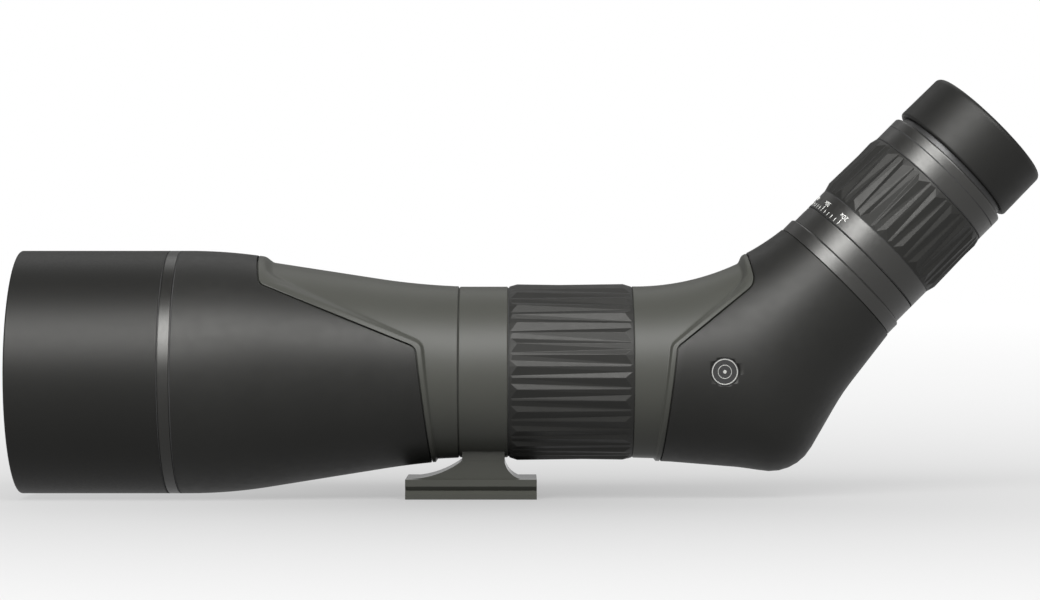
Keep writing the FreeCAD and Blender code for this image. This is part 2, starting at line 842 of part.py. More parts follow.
def make_focus():
    """The focus ring on the neck tube, and the lens cell that its pin drives."""
    keep(turned("focus_ring", [
        ("focus_front", "focus_slip"),
        ("focus_front", "focus_core"),
        ("focus_back", "focus_core"),
        ("focus_back", "focus_slip"),
        ("focus_track_back", "focus_slip"),
        ("focus_track_back", "focus_track_floor"),
        ("focus_track_front", "focus_track_floor"),
        ("focus_track_front", "focus_slip"),
    ]))
    ridged_grip("focus_grip", "focus", FOCUS_GRIP, on_main_axis)
    cell = turned("focus_cell_blank", [
        ("focus_pin_at - focus_cell_half", "focus_lens_radius - 1.5"),
        ("focus_pin_at - focus_cell_half", "focus_cell_radius"),
        ("focus_pin_at + focus_cell_half", "focus_cell_radius"),
        ("focus_pin_at + focus_cell_half", "focus_lens_radius"),
        ("focus_pin_at - focus_seat", "focus_lens_radius"),
        ("focus_pin_at - focus_seat", "focus_lens_radius - 1.5"),
    ])
    pin_at = main_point(mm("focus_pin_at"), 0, 26)
    pin = cylinder("focus_drive_pin", "focus_pin_radius", 6.1, pin_at, Vector(0, 0, 1))
    keep(cut("focus_lens_cell", cell, pin))
    keep(pin)
    pin_station = mm("focus_pin_at")
    keep(lens("focus_lens", "focus_lens_radius", pin_station - 2.5, pin_station + 1, -90, -140))


# ---------------------------------------------------------------- prism housing

def smooth(value):
    value = min(1.0, max(0.0, value))
    return value * value * (3 - 2 * value)


def rounded_path(points, radii):
    """A polyline in the side view whose inner corners are rounded with tangent arcs."""
    edges = []
    start = points[0]
    for before, corner, after, radius in zip(points, points[1:], points[2:], radii):
        towards = (before - corner).normalize()
        away = (after - corner).normalize()
        half_turn = (math.pi - towards.getAngle(away)) / 2
        reach = radius * math.tan(half_turn)
        first = corner + towards * reach
        last = corner + away * reach
        inward = (towards + away).normalize()
        middle = corner + inward * (radius / math.cos(half_turn) - radius)
        edges.append(Part.makeLine(start, first))
        edges.append(Part.Arc(first, middle, last).toShape())
        start = last
    edges.append(Part.makeLine(start, points[-1]))
    return Part.Wire(edges)


def heel_path():
    """The armour's lower outline: along under the prism, round the heel and up to the eyepiece."""
    corners = [Vector(x, 0, z) for x, z in HEEL_CORNERS]
    return rounded_path(corners, HEEL_RADII)


def elbow(label, inset, first=0.0, last=ELBOW_ANGLE):
    """A loft of ellipses in planes that fan out about one line above the housing.

    inset(angle) is how far the surface lies inside the armour's outer surface.
    """
    hinge = Vector(mm("fan_x"), 0, mm("fan_z"))
    lower = heel_path()
    upper_centre = Vector(mm("top_arc_x"), 0, mm("top_arc_z"))
    upper = Part.makeCircle(mm("top_arc_radius"), upper_centre, Vector(0, 1, 0))
    sections = []
    for step in range(int(round((last - first) / FAN_STEP)) + 1):
        angle = first + FAN_STEP * step
        turn = math.radians(angle)
        out = Vector(math.sin(turn), 0, -math.cos(turn))
        ray = Part.makeLine(hinge + out * 40, hinge + out * 190)
        near = (upper.distToShape(ray)[1][0][0] - hinge).Length - skin(angle) + inset(angle)
        far = (lower.distToShape(ray)[1][0][0] - hinge).Length - inset(angle)
        half_width = side(angle) - inset(angle)
        section = doc.addObject("Part::Ellipse", "%s_section_%d" % (label, step))
        section.MajorRadius = max((far - near) / 2, half_width)
        section.MinorRadius = half_width
        across = Vector(0, 1, 0)
        section.Placement = Placement(hinge + out * ((near + far) / 2),
                                      Rotation(out, across, out.cross(across), "XYZ"))
        sections.append(section)
    loft = doc.addObject("Part::Loft", label)
    loft.Sections = sections
    loft.Solid = True
    return loft


def skin(angle):
    """The armour's thickness at a fan angle."""
    return mm("skin_start") + mm("skin_end - skin_start") * smooth(angle / 25)


def side(angle):
    """Half the armour's width at a fan angle."""
    return mm("side_start") + mm("side_end - side_start") * smooth((angle - 12) / 33)


def make_housing():
    """The elbow casting with its raised land, the armour behind it and the badge."""
    outer = elbow("rear_armour_blank", lambda angle: 0.0)
    shell = elbow("housing_blank", skin)
    cavity = elbow("housing_cavity", lambda angle: skin(angle) + mm("housing_wall"), 5.0, 40.0)
    along = Vector(1, 0, 0)
    up_tilt = eyepiece_point(1) - eyepiece_point(0)
    mouth = Vector(mm("fan_x") - 2, 0, mm("axis_height"))
    front_bore = cylinder("housing_front_bore", "neck_radius", 16, mouth, along)
    rear_bore = cylinder("housing_rear_bore", "rear_bore", 20, eyepiece_point(35), up_tilt)
    bare = window("rear_window", REAR_WINDOW, [REAR_WINDOW[2], REAR_WINDOW[3]])
    recess = window("rear_recess", REAR_RECESS, [REAR_RECESS[2], REAR_RECESS[3]])
    land = cut("rear_land", common("rear_land_blank", outer, bare), recess)
    casting = fuse("housing_casting", shell, land)
    keep(cut_all("prism_housing", casting, [cavity, front_bore, rear_bore]))
    sideways = Vector(0, 1, 0)
    badge_at = Vector(mm("badge_x"), -mm("badge_face"), mm("badge_z"))
    badge_seat = cylinder("badge_seat", "badge_radius", "badge_thickness", badge_at, sideways)
    skin_only = cut_all("rear_armour_skin", outer, [bare, shell, rear_bore])
    keep(cut("rear_armour", skin_only, badge_seat))
    badge_blank = cylinder("badge_blank", "badge_radius", "badge_thickness", badge_at, sideways)
    keep(cut("badge", badge_blank, shell))


def make_prism():
    """The 45 degree roof prism in its cradle, held down by a strap and four screws."""
    half = mm("prism_half_width")
    prism = padded("roof_prism", PRISM_FACES, 2 * half)
    rounded(prism, half - 0.1, lambda edge: roof_edge(edge, half), "Chamfer")
    keep(prism)
    cheeks = padded("cradle_blank", CRADLE_SIDE, 2 * half + 4)
    room = padded("cradle_room", CRADLE_ROOM, 2 * half + 0.1)
    sides = cut("cradle_sides", cheeks, room)
    bar = padded("cradle_bar", CRADLE_BAR, 2 * half + 4)
    keep(fuse("prism_cradle", sides, bar))
    keep(box("prism_clamp", 4.4, 2 * half + 1, 1.2, Vector(99.1, 0, 79.6)))
    screws = []
    for side_sign in (-1, 1):
        for x, z in CRADLE_SCREWS:
            head_at = Vector(x, side_sign * (half + 2), z)
            out = Vector(0, side_sign, 0)
            screws.append(cylinder("prism_screw_%d" % len(screws), 2.2, 1.6, head_at, out))
    group = doc.addObject("Part::Compound", "prism_screws")
    group.Links = screws
    keep(group)


def roof_edge(edge, half):
    """Picks the two long edges of the prism's base, which are cut back to form the roof."""
    middle = edge.CenterOfMass
    in_middle = 110 < middle.x < 125 and 30 < middle.z < 40
    return in_middle and abs(abs(middle.y) - half) < 0.01


# ---------------------------------------------------------------- eyepiece

def tube_ring(label, front, back, bore, radius, edge=0.3):
    """A turned ring with a small bevel on both outer edges."""
    return turned(label, [
        (front, bore),
        (front, radius + " - %g" % edge),
        (front + " + %g" % edge, radius),
        (back + " - %g" % edge, radius),
        (back, radius + " - %g" % edge),
        (back, bore),
    ], on_eyepiece_axis)


def make_eyepiece_body():
    """The parts of the eyepiece that stay still: lock ring, index band, tube and rear shell."""
    keep(turned("eyepiece_lock_ring", [
        ("housing_end - 8", "tube_radius"),
        ("housing_end - 8", "rear_bore"),
        ("housing_end", "rear_bore"),
        ("housing_end", "lock_ring_radius - 0.3"),
        ("housing_end + 0.3", "lock_ring_radius"),
        ("lock_ring_back - 0.5", "lock_ring_radius"),
        ("lock_ring_back", "lock_ring_radius - 0.5"),
        ("lock_ring_back", "tube_radius"),
    ], on_eyepiece_axis))
    keep(tube_ring("eyepiece_base", "lock_ring_back", "base_back", "tube_radius", "band_outer", 0.25))
    tube = turned("tube_blank", [
        ("tube_front", "tube_bore"),
        ("tube_front", "tube_radius"),
        ("tube_back", "tube_radius"),
        ("tube_back", "tube_bore"),
    ], on_eyepiece_axis)
    tilt = Rotation(Vector(0, 1, 0), -ELBOW_ANGLE)
    width = 2 * mm("zoom_pin_radius") + 0.1
    slots = []
    for number, pin_at in enumerate(("front_pin_at", "rear_pin_at")):
        middle = eyepiece_point(mm(pin_at), 0, mm("tube_radius"))
        slots.append(box("tube_slot_%d" % number, 13.5, width, 8, middle, tilt))
    keep(cut_all("eyepiece_tube", tube, slots))
    keep(turned("eyepiece_rear_shell", [
        ("rear_shell_front", "tube_radius"),
        ("rear_shell_front", "band_outer - 0.25"),
        ("rear_shell_front + 0.25", "band_outer"),
        ("rear_shell_back - 0.25", "band_outer"),
        ("rear_shell_back", "band_outer - 0.25"),
        ("rear_shell_back", "cup_clearance"),
        ("rear_shell_front + 2", "cup_clearance"),
        ("rear_shell_front + 2", "tube_radius"),
    ], on_eyepiece_axis))
    keep(turned("eyecup_stop_ring", [
        ("rear_shell_back", "cup_clearance"),
        ("rear_shell_back", "band_outer - 0.25"),
        ("rear_shell_back + 0.25", "band_outer"),
        ("stop_ring_back - 1", "band_outer"),
        ("stop_ring_back", "band_outer - 1", 1.0, "crowned"),
        ("stop_ring_back", "cup_clearance"),
    ], on_eyepiece_axis))
    keep(turned("eye_lens_cell", [
        ("eye_cell_front", "eye_lens_radius - 1"),
        ("eye_cell_front", "tube_bore"),
        ("tube_back", "tube_bore"),
        ("tube_back", "tube_radius"),
        ("tube_back + 1.2", "tube_radius"),
        ("tube_back + 1.2", "eye_cell_mouth"),
        ("eye_lens_back + 0.2", "eye_lens_radius"),
        ("eye_lens_front", "eye_lens_radius"),
        ("eye_lens_front", "eye_lens_radius - 1"),
    ], on_eyepiece_axis))
    keep(lens("eye_lens", "eye_lens_radius", mm("eye_lens_front"), mm("eye_lens_back"), 0, 40,
              on_eyepiece_axis))
    keep(lens("field_lens", "tube_bore", mm("field_lens_front"), mm("field_lens_back"), 90, 0,
              on_eyepiece_axis))


def make_zoom():
    """The zoom ring with its scale band, grip and cam sleeve, and the two cells it drives."""
    keep(turned("zoom_ring", [
        ("zoom_front", "zoom_slip"),
        ("zoom_front", "band_outer - 0.25"),
        ("zoom_front + 0.25", "band_outer"),
        ("zoom_grip_front", "band_outer"),
        ("zoom_grip_front", "zoom_core"),
        ("zoom_back", "zoom_core"),
        ("zoom_back", "zoom_slip"),
    ], on_eyepiece_axis))
    ridged_grip("zoom_grip", "zoom", ZOOM_GRIP, on_eyepiece_axis)
    keep(turned("zoom_cam_sleeve", [
        ("cam_front", "cam_slip"),
        ("cam_front", "cam_radius"),
        ("cam_back", "cam_radius"),
        ("cam_back", "cam_slip"),
        ("rear_pin_at + cam_track_half", "cam_slip"),
        ("rear_pin_at + cam_track_half", "cam_floor"),
        ("rear_pin_at - cam_track_half", "cam_floor"),
        ("rear_pin_at - cam_track_half", "cam_slip"),
        ("front_pin_at + cam_track_half", "cam_slip"),
        ("front_pin_at + cam_track_half", "cam_floor"),
        ("front_pin_at - cam_track_half", "cam_floor"),
        ("front_pin_at - cam_track_half", "cam_slip"),
    ], on_eyepiece_axis))
    make_zoom_group("front", (-1.5, 2.5), (60.0, -70.0))
    make_zoom_group("rear", (1.3, 4.0), (-45.0, 120.0))


def make_zoom_group(name, vertices, curves):
    """A sliding cell, its lens and the pin that runs in the cam sleeve."""
    pin_at = name + "_pin_at"
    at = mm(pin_at)
    cell = turned("zoom_%s_cell_blank" % name, [
        (pin_at + " - zoom_cell_half", "zoom_lens_stop"),
        (pin_at + " - zoom_cell_half", "zoom_cell_radius"),
        (pin_at + " + zoom_cell_half", "zoom_cell_radius"),
        (pin_at + " + zoom_cell_half", "zoom_lens_radius"),
        (pin_at + " - zoom_lens_seat", "zoom_lens_radius"),
        (pin_at + " - zoom_lens_seat", "zoom_lens_stop"),
    ], on_eyepiece_axis)
    up = eyepiece_point(0, 0, 1) - eyepiece_point(0)
    pin = cylinder("zoom_%s_pin" % name, "zoom_pin_radius", 5.7, eyepiece_point(at, 0, 18), up)
    keep(cut("zoom_%s_cell" % name, cell, pin))
    keep(pin)
    front, back = (at + vertex for vertex in vertices)
    keep(lens("zoom_%s_lens" % name, "zoom_lens_radius", front, back, curves[0], curves[1], on_eyepiece_axis))


def make_eyecup():
    """The twist-up eyecup: a keyed guide ring lifts, and sleeve and rubber turn on it."""
    keep(turned("eyecup_guide_ring", [
        ("guide_front", "guide_bore"),
        ("guide_front", "guide_radius"),
        ("guide_back", "guide_radius"),
        ("guide_back", "guide_bore"),
    ], on_eyepiece_axis))
    keep(turned("eyecup_sleeve", [
        ("cup_sleeve_front", "cup_sleeve_bore"),
        ("cup_sleeve_front", "cup_sleeve_radius"),
        ("cup_sleeve_back", "cup_sleeve_radius"),
        ("cup_sleeve_back", "cup_sleeve_bore"),
    ], on_eyepiece_axis))
    keep(turned("eyecup_rubber", [
        ("cup_front", "cup_sleeve_radius"),
        ("cup_front", "cup_radius - 1.2"),
        ("cup_front + 1.2", "cup_radius", 1.2, "crowned"),
        ("cup_back - 2.2", "cup_radius - 0.3"),
        ("cup_back", "cup_radius - 2.5", 2.2, "crowned"),
        ("cup_back", "cup_mouth + 2.2"),
        ("cup_back - 1.4", "cup_mouth", 2.6, "crowned"),
        ("cup_back - 8.5", "cup_mouth + 0.4"),
        ("cup_back - 8.5", "cup_sleeve_bore"),
        ("cup_sleeve_back", "cup_sleeve_bore"),
        ("cup_sleeve_back", "cup_sleeve_radius"),
    ], on_eyepiece_axis))


# ---------------------------------------------------------------- build and write

def check(thing):
    """Stop if an object failed to build."""
    if "Invalid" in thing.State or "Error" in thing.State:
        raise RuntimeError("%s failed: %s" % (thing.Label, thing.State))


def write_parts():
    """Build everything, stop if a sub-part is no valid solid, and write one STEP file for each."""
    doc.recompute()
    for thing in doc.Objects:
        check(thing)
    os.makedirs("parts", exist_ok=True)
    for label, thing in nodes.items():
        shape = thing.Shape
        if shape.isNull() or not shape.isValid() or not shape.Solids:
            raise RuntimeError("%s is not a valid solid" % label)
        shape.exportStep("parts/%s.step" % label)
    print("%d sub-parts written" % len(nodes))


make_hood()
make_objective()
make_front_barrel()
make_baffles()
make_neck()
make_collar()
make_lock()
make_focus()
make_housing()
make_prism()
make_eyepiece_body()
make_zoom()
make_eyecup()
write_parts()
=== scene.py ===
"""Looks of the angled spotting scope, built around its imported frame.

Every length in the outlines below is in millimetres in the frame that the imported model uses: +X runs
from the objective to the eyepiece, +Z is up and the origin is the middle of the foot's underside.
Meshes are made in metres.
"""

import json
import math

import bmesh
import bpy
import numpy as np
from mathutils import Matrix, Vector


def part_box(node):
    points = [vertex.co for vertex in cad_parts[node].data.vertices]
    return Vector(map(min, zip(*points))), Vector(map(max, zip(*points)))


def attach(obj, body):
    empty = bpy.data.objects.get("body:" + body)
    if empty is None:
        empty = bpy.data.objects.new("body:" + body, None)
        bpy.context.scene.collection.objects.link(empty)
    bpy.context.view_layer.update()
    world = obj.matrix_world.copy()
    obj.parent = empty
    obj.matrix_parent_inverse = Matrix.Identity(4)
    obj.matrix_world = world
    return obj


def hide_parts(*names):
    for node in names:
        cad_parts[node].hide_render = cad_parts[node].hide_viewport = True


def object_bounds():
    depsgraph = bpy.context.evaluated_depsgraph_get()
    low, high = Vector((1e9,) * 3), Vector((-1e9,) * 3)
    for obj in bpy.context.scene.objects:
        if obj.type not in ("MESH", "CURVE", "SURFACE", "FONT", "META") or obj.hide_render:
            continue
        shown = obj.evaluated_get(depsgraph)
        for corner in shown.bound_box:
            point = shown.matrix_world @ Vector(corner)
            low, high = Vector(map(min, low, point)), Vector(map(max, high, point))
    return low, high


MM = 0.001

# How finely things are drawn: corners round a casting, a turned piece and the badge, then steps in mm
# along outlines, steps in a rounded corner, rows of corners along each stretch of a casting, and how
# often the search for an edge halves its range
COLUMNS = 720
LATHE_COLUMNS = 288
BADGE_COLUMNS = 96
TRACE_STEP = 0.25
LINE_STEP = 0.2
CORNER_STEPS = 24
ARMOUR_ROWS = 30
UNDER_ROWS = 12
HIDDEN_ROWS = 5
LAND_ROWS = 3
BEVEL_ROWS = 10
CASTING_ROWS = 40
HALVINGS = 40

# Camera: focal length and sensor width in mm, place in metres
LENS = 106.1
SENSOR_WIDTH = 36.0
CAMERA_AT = (0.01955, -1.240, 0.0795)

# Softboxes: place and aim in metres, size in metres, power in watts
LIGHTS = {
    "key": dict(at=(0.15, -0.92, 0.98), towards=(0.0, 0.0, 0.06), size=(1.8, 0.62), watts=52),
    "side_key": dict(at=(-0.46, -1.05, 0.58), towards=(0.05, 0.0, 0.08), size=(0.7, 0.5), watts=13),
    "back_fill": dict(at=(0.1, 1.1, 1.5), towards=(0.0, 0.0, 0.06), size=(2.0, 0.8), watts=7),
}

# Room: its brightness at the horizon and high up, and the height in its unit sphere where it levels out.
# Floor: its tone, its glow at the middle, then in metres how far out the glow has come halfway to white,
# half its size and how far it lies below the foot
ROOM_LOW = 0.48
ROOM_HIGH = 0.12
ROOM_LEVEL = 0.75
FLOOR_TONE = 0.06
FLOOR_GLOW = 0.4
FLOOR_FADE = 0.45
FLOOR_SIZE = 40.0
FLOOR_DROP = 0.0002

# Colour casts, relief in metres, how far roughness strays, and the usual range of a noise texture
WHITE = (1.0, 1.0, 1.0)
WARM = (1.0, 0.98, 0.9)
FAINT_WARM = (1.0, 1.0, 0.93)
SHINE = (1.0, 0.995, 0.965, 1.0)
GREY_GREEN = (1.0, 1.02, 0.88)
RUBBER_GRAIN = 0.000006
GRIP_GRAIN = 0.000005
PAINT_GRAIN = 0.000004
TRIM_GRAIN = 0.000002
LATHE_GRAIN = 0.0000015
ROUGH_SPREAD = 0.03
NOISE_LOW = 0.3
NOISE_HIGH = 0.7

# The foot is smoother than the rest of its casting, up to this height in metres
FOOT_TOP = 0.014
FOOT_BLEND = 0.004
FOOT_ROUGHNESS = 0.16

# The armour's edges in the side view, as (x, z) from top to bottom, and their corner radii
FRONT_EDGE = [(-88.4, 110), (-84.0, 86.06), (-21.9, 60.8), (-14.4, 0)]
FRONT_BAND = [(-86.3, 110), (-82.0, 87.5), (-19.9, 62.2), (-12.9, 0)]
FRONT_BEVEL = [(-82.6, 110), (-78.4, 89.7), (-18.3, 63.2), (-11.9, 0)]
FRONT_CORNERS = [4.0, 4.0]
REAR_EDGE = [(110.5, 120), (110.5, 102), (113.4, 86.1), (82.0, 60.9), (74.5, 0)]
REAR_BAND = [(108.9, 120), (108.9, 102), (111.5, 86.8), (80.1, 61.6), (72.6, 0)]
REAR_BEVEL = [(105.5, 120), (105.5, 102), (108.6, 87.4), (78.8, 62.4), (71.4, 0)]
REAR_CORNERS = [6.0, 7.0, 3.5]

# The badge: disc, pocket and rings, whose name, inner radius and outer radius are listed
BADGE_RADIUS = 5.5
BADGE_DEPTH = 1.6
BADGE_ROUND = 0.08
BADGE_HOLE = 0.01
BADGE_CLEAR = 2.0
BADGE_RINGS = (("badge_rim", 4.72, 5.12), ("badge_inner_ring", 2.5, 2.75), ("badge_dot", BADGE_HOLE, 0.7))
BADGE_LIP = 0.34
BADGE_STEP = 0.04
RING_FOOT = 0.4
RING_ROUND = 0.06
RING_EDGE = 0.05

# Seams between armour and casting, edge rounds, the shares of a round where its in-between rows lie, and
# the angle in degrees from which an edge is sharp
SEAM = 0.55
SEAM_DEPTH = 0.9
EDGE_ROUND = 0.3
LIP_ROUND = 0.12
ROUND_NEAR = 0.1
ROUND_FAR = 0.38
SHARP_ANGLE = 30.0

# Radii along the front barrel, from name ring to collar: (x, radius) or (x, radius, arc radius, bulge)
BARREL_LAND = [(-116.9, 49.0), (-114.0, 49.0), (-81.5, 46.4, 204, 1), (-35.7, 39.08), (-11.7, 36.2, 300, -1),
               (-5.1, 35.7)]
BARREL_FIELD = [(-116.9, 47.0), (-114.0, 47.0), (-79.0, 44.1, 204, 1), (-39.0, 37.95), (-5.1, 34.65, 286, -1)]

# Insides of the castings: bores, their depths and the steps between them
NECK_BORE = 30.6
NECK_DEPTH = 11.6
NECK_STEP = 31.8
BARREL_BORE = [(-39.0, 35.2), (-81.7, 41.2), (-103.2, 43.2)]
CELL_BORE = 44.4
EYEPIECE_BORE = 24.05
EYEPIECE_DEPTH = 7.9
HOUSING_NECK = 12.0
HOUSING_WALL = 2.8
HOUSING_SHARES = (0.35, 0.5, 0.65, 0.8, 0.93)

# Small gaps and rounds at the ends of armour and castings; the last three are fan angles in degrees
FRONT_GAP = 0.05
UNDER_GAP = 0.04
END_ROUND = 0.25
FACE_CHAMFER = 0.3
FACE_ANGLE = 0.15
MOUTH_GAP = 0.02
MOUTH_ROUND = 0.12

# The elbow: planes fan out about a hinge line above the housing. Its armour's thickness grows up to one
# fan angle, and its width across the view shrinks from another
FAN_X = 64.7
FAN_Z = 168.8
FAN_ANGLE = 45.0
SKIN_THIN = 1.0
SKIN_GROWTH = 1.2
SKIN_ANGLE = 25
HALF_WIDTH = 35.4
HALF_WIDTH_END = 29.8
NARROW_FROM = 12
TOP_ARC = (66.0, 183.0, 98.0)
HEEL = [(64.5, 14.82), (80.0, 14.2), (108.5, 11.9), (130.6, 8.6), (149.6, 41.6), (170.0, 67.9)]
HEEL_CORNERS = [60.0, 60.0, 19.0, 90.0]

# Grips: ridge count, phase, then the angles and radii of a pitch's four lines at either end
FOCUS_GRIP = dict(count=24, phase=5.0, core=33.4, end=34.5, high=35.65, bevels=(3.4, 3.7),
                  front=((0, 35.65), (6.0, 34.7), (7.5, 34.95), (11.2, 34.7)),
                  back=((0, 34.95), (3.75, 34.7), (7.5, 35.65), (13.7, 34.7)))
ZOOM_GRIP = dict(count=20, phase=4.4, core=27.6, end=28.8, high=29.9, bevels=(4.0, 3.7),
                 front=((0, 29.9), (7.2, 28.95), (9.0, 29.2), (13.4, 28.95)),
                 back=((0, 29.2), (4.5, 28.95), (9.0, 29.9), (16.4, 28.95)))

# The soft edges of the grips' ridges: width in mm, and the angle in degrees from which an edge has one
GRIP_BEVEL = 0.12
GRIP_BEVEL_ANGLE = 8

# Marks on the zoom ring and its index, in mm and degrees; two are shares of a digit's size
ZOOMS = (20, 30, 40, 50, 60)
FIRST_ZOOM_ANGLE = 36.7
ZOOM_STEP = 24.1
SCALE_MARGIN = 0.55
DIGIT_SIZE = 2.9
DIGIT_GAP = 0.3
LONG_TICK = 2.6
SHORT_TICK = 1.7
TICK_WIDTH = 0.22
INDEX_WIDTH = 0.6
INDEX_LENGTH = 2.6
INK_LIFT = 0.02
CAP_HEIGHT = 0.7
STROKE_TRIM = 0.012

# Black washers and gaskets: radii, gaps and widths
COLLAR_FRONT_RADIUS = 33.9
COLLAR_BACK_RADIUS = 34.05
FOCUS_RADIUS = 34.0
COLLAR_GAP = 0.2
GASKET_PROUD = 0.02
GASKET_DEPTH = 0.6
GASKET_WIDTHS = {
    "name_gasket_front": 0.3,
    "name_gasket_back": 0.45,
    "lock_gasket": 0.3,
    "base_gasket": 0.25,
    "zoom_gasket": 0.25,
    "grip_gasket_front": 0.4,
    "grip_gasket_back": 0.35,
    "shell_gasket": 0.45,
}

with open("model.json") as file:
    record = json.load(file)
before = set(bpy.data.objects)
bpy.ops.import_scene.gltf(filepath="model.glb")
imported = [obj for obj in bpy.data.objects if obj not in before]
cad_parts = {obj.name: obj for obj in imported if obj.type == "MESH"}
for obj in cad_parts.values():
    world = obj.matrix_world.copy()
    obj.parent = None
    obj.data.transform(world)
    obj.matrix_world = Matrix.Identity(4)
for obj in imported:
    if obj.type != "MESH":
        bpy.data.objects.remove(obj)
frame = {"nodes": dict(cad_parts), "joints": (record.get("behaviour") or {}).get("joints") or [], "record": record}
cad_low, cad_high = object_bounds()


# ---------------------------------------------------------------- axes and positions

class Axis:
    """A line that turned pieces share. An angle of 0 faces the camera's side and 90 faces up."""

    def __init__(self, origin, along):
        self.origin = np.array(origin, float)
        self.along = np.array(along, float)
        self.near = np.array((0.0, -1.0, 0.0))
        self.up = np.cross(self.near, self.along)

    def points(self, distance, radius, angle):
        """Points in mm for arrays of distances, radii and angles in radians."""
        distance, radius, angle = np.broadcast_arrays(distance, radius, angle)
        across = np.cos(angle)[..., None] * self.near + np.sin(angle)[..., None] * self.up
        return self.origin + distance[..., None] * self.along + radius[..., None] * across

    def span(self, node):
        """First and last distance of a CAD node along the axis, in mm."""
        corners = np.array([v.co for v in frame["nodes"][node].data.vertices], float) / MM
        distances = (corners - self.origin) @ self.along
        return float(distances.min()), float(distances.max())

    def reach(self, node):
        """A CAD node's largest radius about the axis, in mm."""
        corners = np.array([v.co for v in frame["nodes"][node].data.vertices], float) / MM
        offset = corners - self.origin
        offset -= (offset @ self.along)[:, None] * self.along
        return float(np.linalg.norm(offset, axis=1).max())


def joint(name):
    """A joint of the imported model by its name."""
    return [item for item in frame["joints"] if item["name"] == name][0]


def make_axes():
    """The objective tube's axis and the eyepiece's axis."""
    turn = joint("focus_turn")
    zoom = joint("zoom_turn")
    main = Axis(np.array(turn["pos_m"]) / MM * (0, 1, 1), turn["axis"])
    eye = Axis(np.array(zoom["pos_m"]) / MM, zoom["axis"])
    return main, eye


MAIN, EYE = make_axes()
ANGLES = np.arange(COLUMNS) * (2 * math.pi / COLUMNS)


# ---------------------------------------------------------------- meshes

def mesh_object(name, corners, faces, body, material, sharp=SHARP_ANGLE):
    """A new object from corners in mm, smooth except where faces meet at more than the sharp angle."""
    mesh = bpy.data.meshes.new(name)
    mesh.from_pydata((np.asarray(corners) * MM).tolist(), [], faces)
    shell = bmesh.new()
    shell.from_mesh(mesh)
    bmesh.ops.recalc_face_normals(shell, faces=shell.faces)
    shell.to_mesh(mesh)
    shell.free()
    mesh.shade_smooth()
    if sharp is not None:
        mesh.set_sharp_from_angle(angle=math.radians(sharp))
    mesh.materials.append(material)
    thing = bpy.data.objects.new(name, mesh)
    bpy.context.scene.collection.objects.link(thing)
    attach(thing, body)
    return thing


def ring_faces(rows, columns, closed):
    """Quads between rows of corners that run round an axis; closed joins the last row to the first."""
    steps = rows if closed else rows - 1
    row = np.arange(steps)[:, None]
    column = np.arange(columns)[None, :]
    after = (column + 1) % columns
    below = (row + 1) % rows
    corners = [
        row * columns + column,
        below * columns + column,
        below * columns + after,
        row * columns + after,
    ]
    quads = np.stack([np.broadcast_to(c, (steps, columns)) for c in corners], axis=-1)
    return quads.reshape(-1, 4).tolist()


def ring_mesh(name, rows, body, material):
    """A closed piece that goes all the way round an axis, from rows of corners."""
    faces = ring_faces(len(rows), len(rows[0]), True)
    return mesh_object(name, np.concatenate(rows), faces, body, material)


def lathe(name, axis, outline, body, material, closed=True, columns=LATHE_COLUMNS):
    """A turned piece from (distance, radius) points; an open outline ends in two flat caps."""
    angles = np.arange(columns) * (2 * math.pi / columns)
    rows = [axis.points(d, r, angles) for d, r in outline]
    corners = np.concatenate(rows)
    faces = ring_faces(len(rows), columns, closed)
    if not closed:
        faces.append(tuple(range(columns)))
        faces.append(tuple(range(len(corners) - columns, len(corners))))
    return mesh_object(name, corners, faces, body, material)


def carve(piece, cutter):
    """Cut another object's shape out of a piece for good."""
    knife = piece.modifiers.new("carve", "BOOLEAN")
    knife.operation = "DIFFERENCE"
    knife.object = cutter
    bpy.context.view_layer.update()
    carved = bpy.data.meshes.new_from_object(piece.evaluated_get(bpy.context.evaluated_depsgraph_get()))
    piece.modifiers.clear()
    piece.data = carved
    bpy.data.objects.remove(cutter)


# ---------------------------------------------------------------- outlines

def traced(points):
    """Closely spaced (x, y) along lines and arcs; an arc's bulge is 1 outward and -1 inward."""
    xs, ys = [points[0][0]], [points[0][1]]
    for start, end in zip(points, points[1:]):
        a, b = np.array(start[:2], float), np.array(end[:2], float)
        chord = b - a
        length = np.linalg.norm(chord)
        t = np.linspace(0, 1, max(2, int(length / TRACE_STEP)))[1:]
        line = a + t[:, None] * chord
        if len(end) == 4:
            radius, bulge = end[2], end[3]
            left = np.array((-chord[1], chord[0])) / length
            half = length / 2
            along = (t - 0.5) * length
            rise = np.sqrt(radius ** 2 - along ** 2) - math.sqrt(radius ** 2 - half ** 2)
            line = line + bulge * rise[:, None] * left
        xs.extend(line[:, 0])
        ys.extend(line[:, 1])
    return np.array(xs), np.array(ys)


def rounded_line(points, radii):
    """A dense polyline through points whose inner corners are rounded with tangent arcs."""
    points = [np.array(p, float) for p in points]
    path = [points[0]]
    for before, corner, after, radius in zip(points, points[1:], points[2:], radii):
        towards = (before - corner) / np.linalg.norm(before - corner)
        away = (after - corner) / np.linalg.norm(after - corner)
        half_turn = (math.pi - math.acos(float(np.clip(towards @ away, -1, 1)))) / 2
        reach = radius * math.tan(half_turn)
        inward = (towards + away) / np.linalg.norm(towards + away)
        centre = corner + inward * radius / math.cos(half_turn)
        first, last = corner + towards * reach - centre, corner + away * reach - centre
        for share in np.linspace(0, 1, CORNER_STEPS):
            arm = (1 - share) * first + share * last
            path.append(centre + arm / np.linalg.norm(arm) * radius)
    path.append(points[-1])
    dense = []
    for a, b in zip(path, path[1:]):
        count = max(2, int(np.linalg.norm(b - a) / LINE_STEP))
        dense.extend(a + (b - a) * t for t in np.linspace(0, 1, count, endpoint=False))
    dense.append(path[-1])
    return np.array(dense)


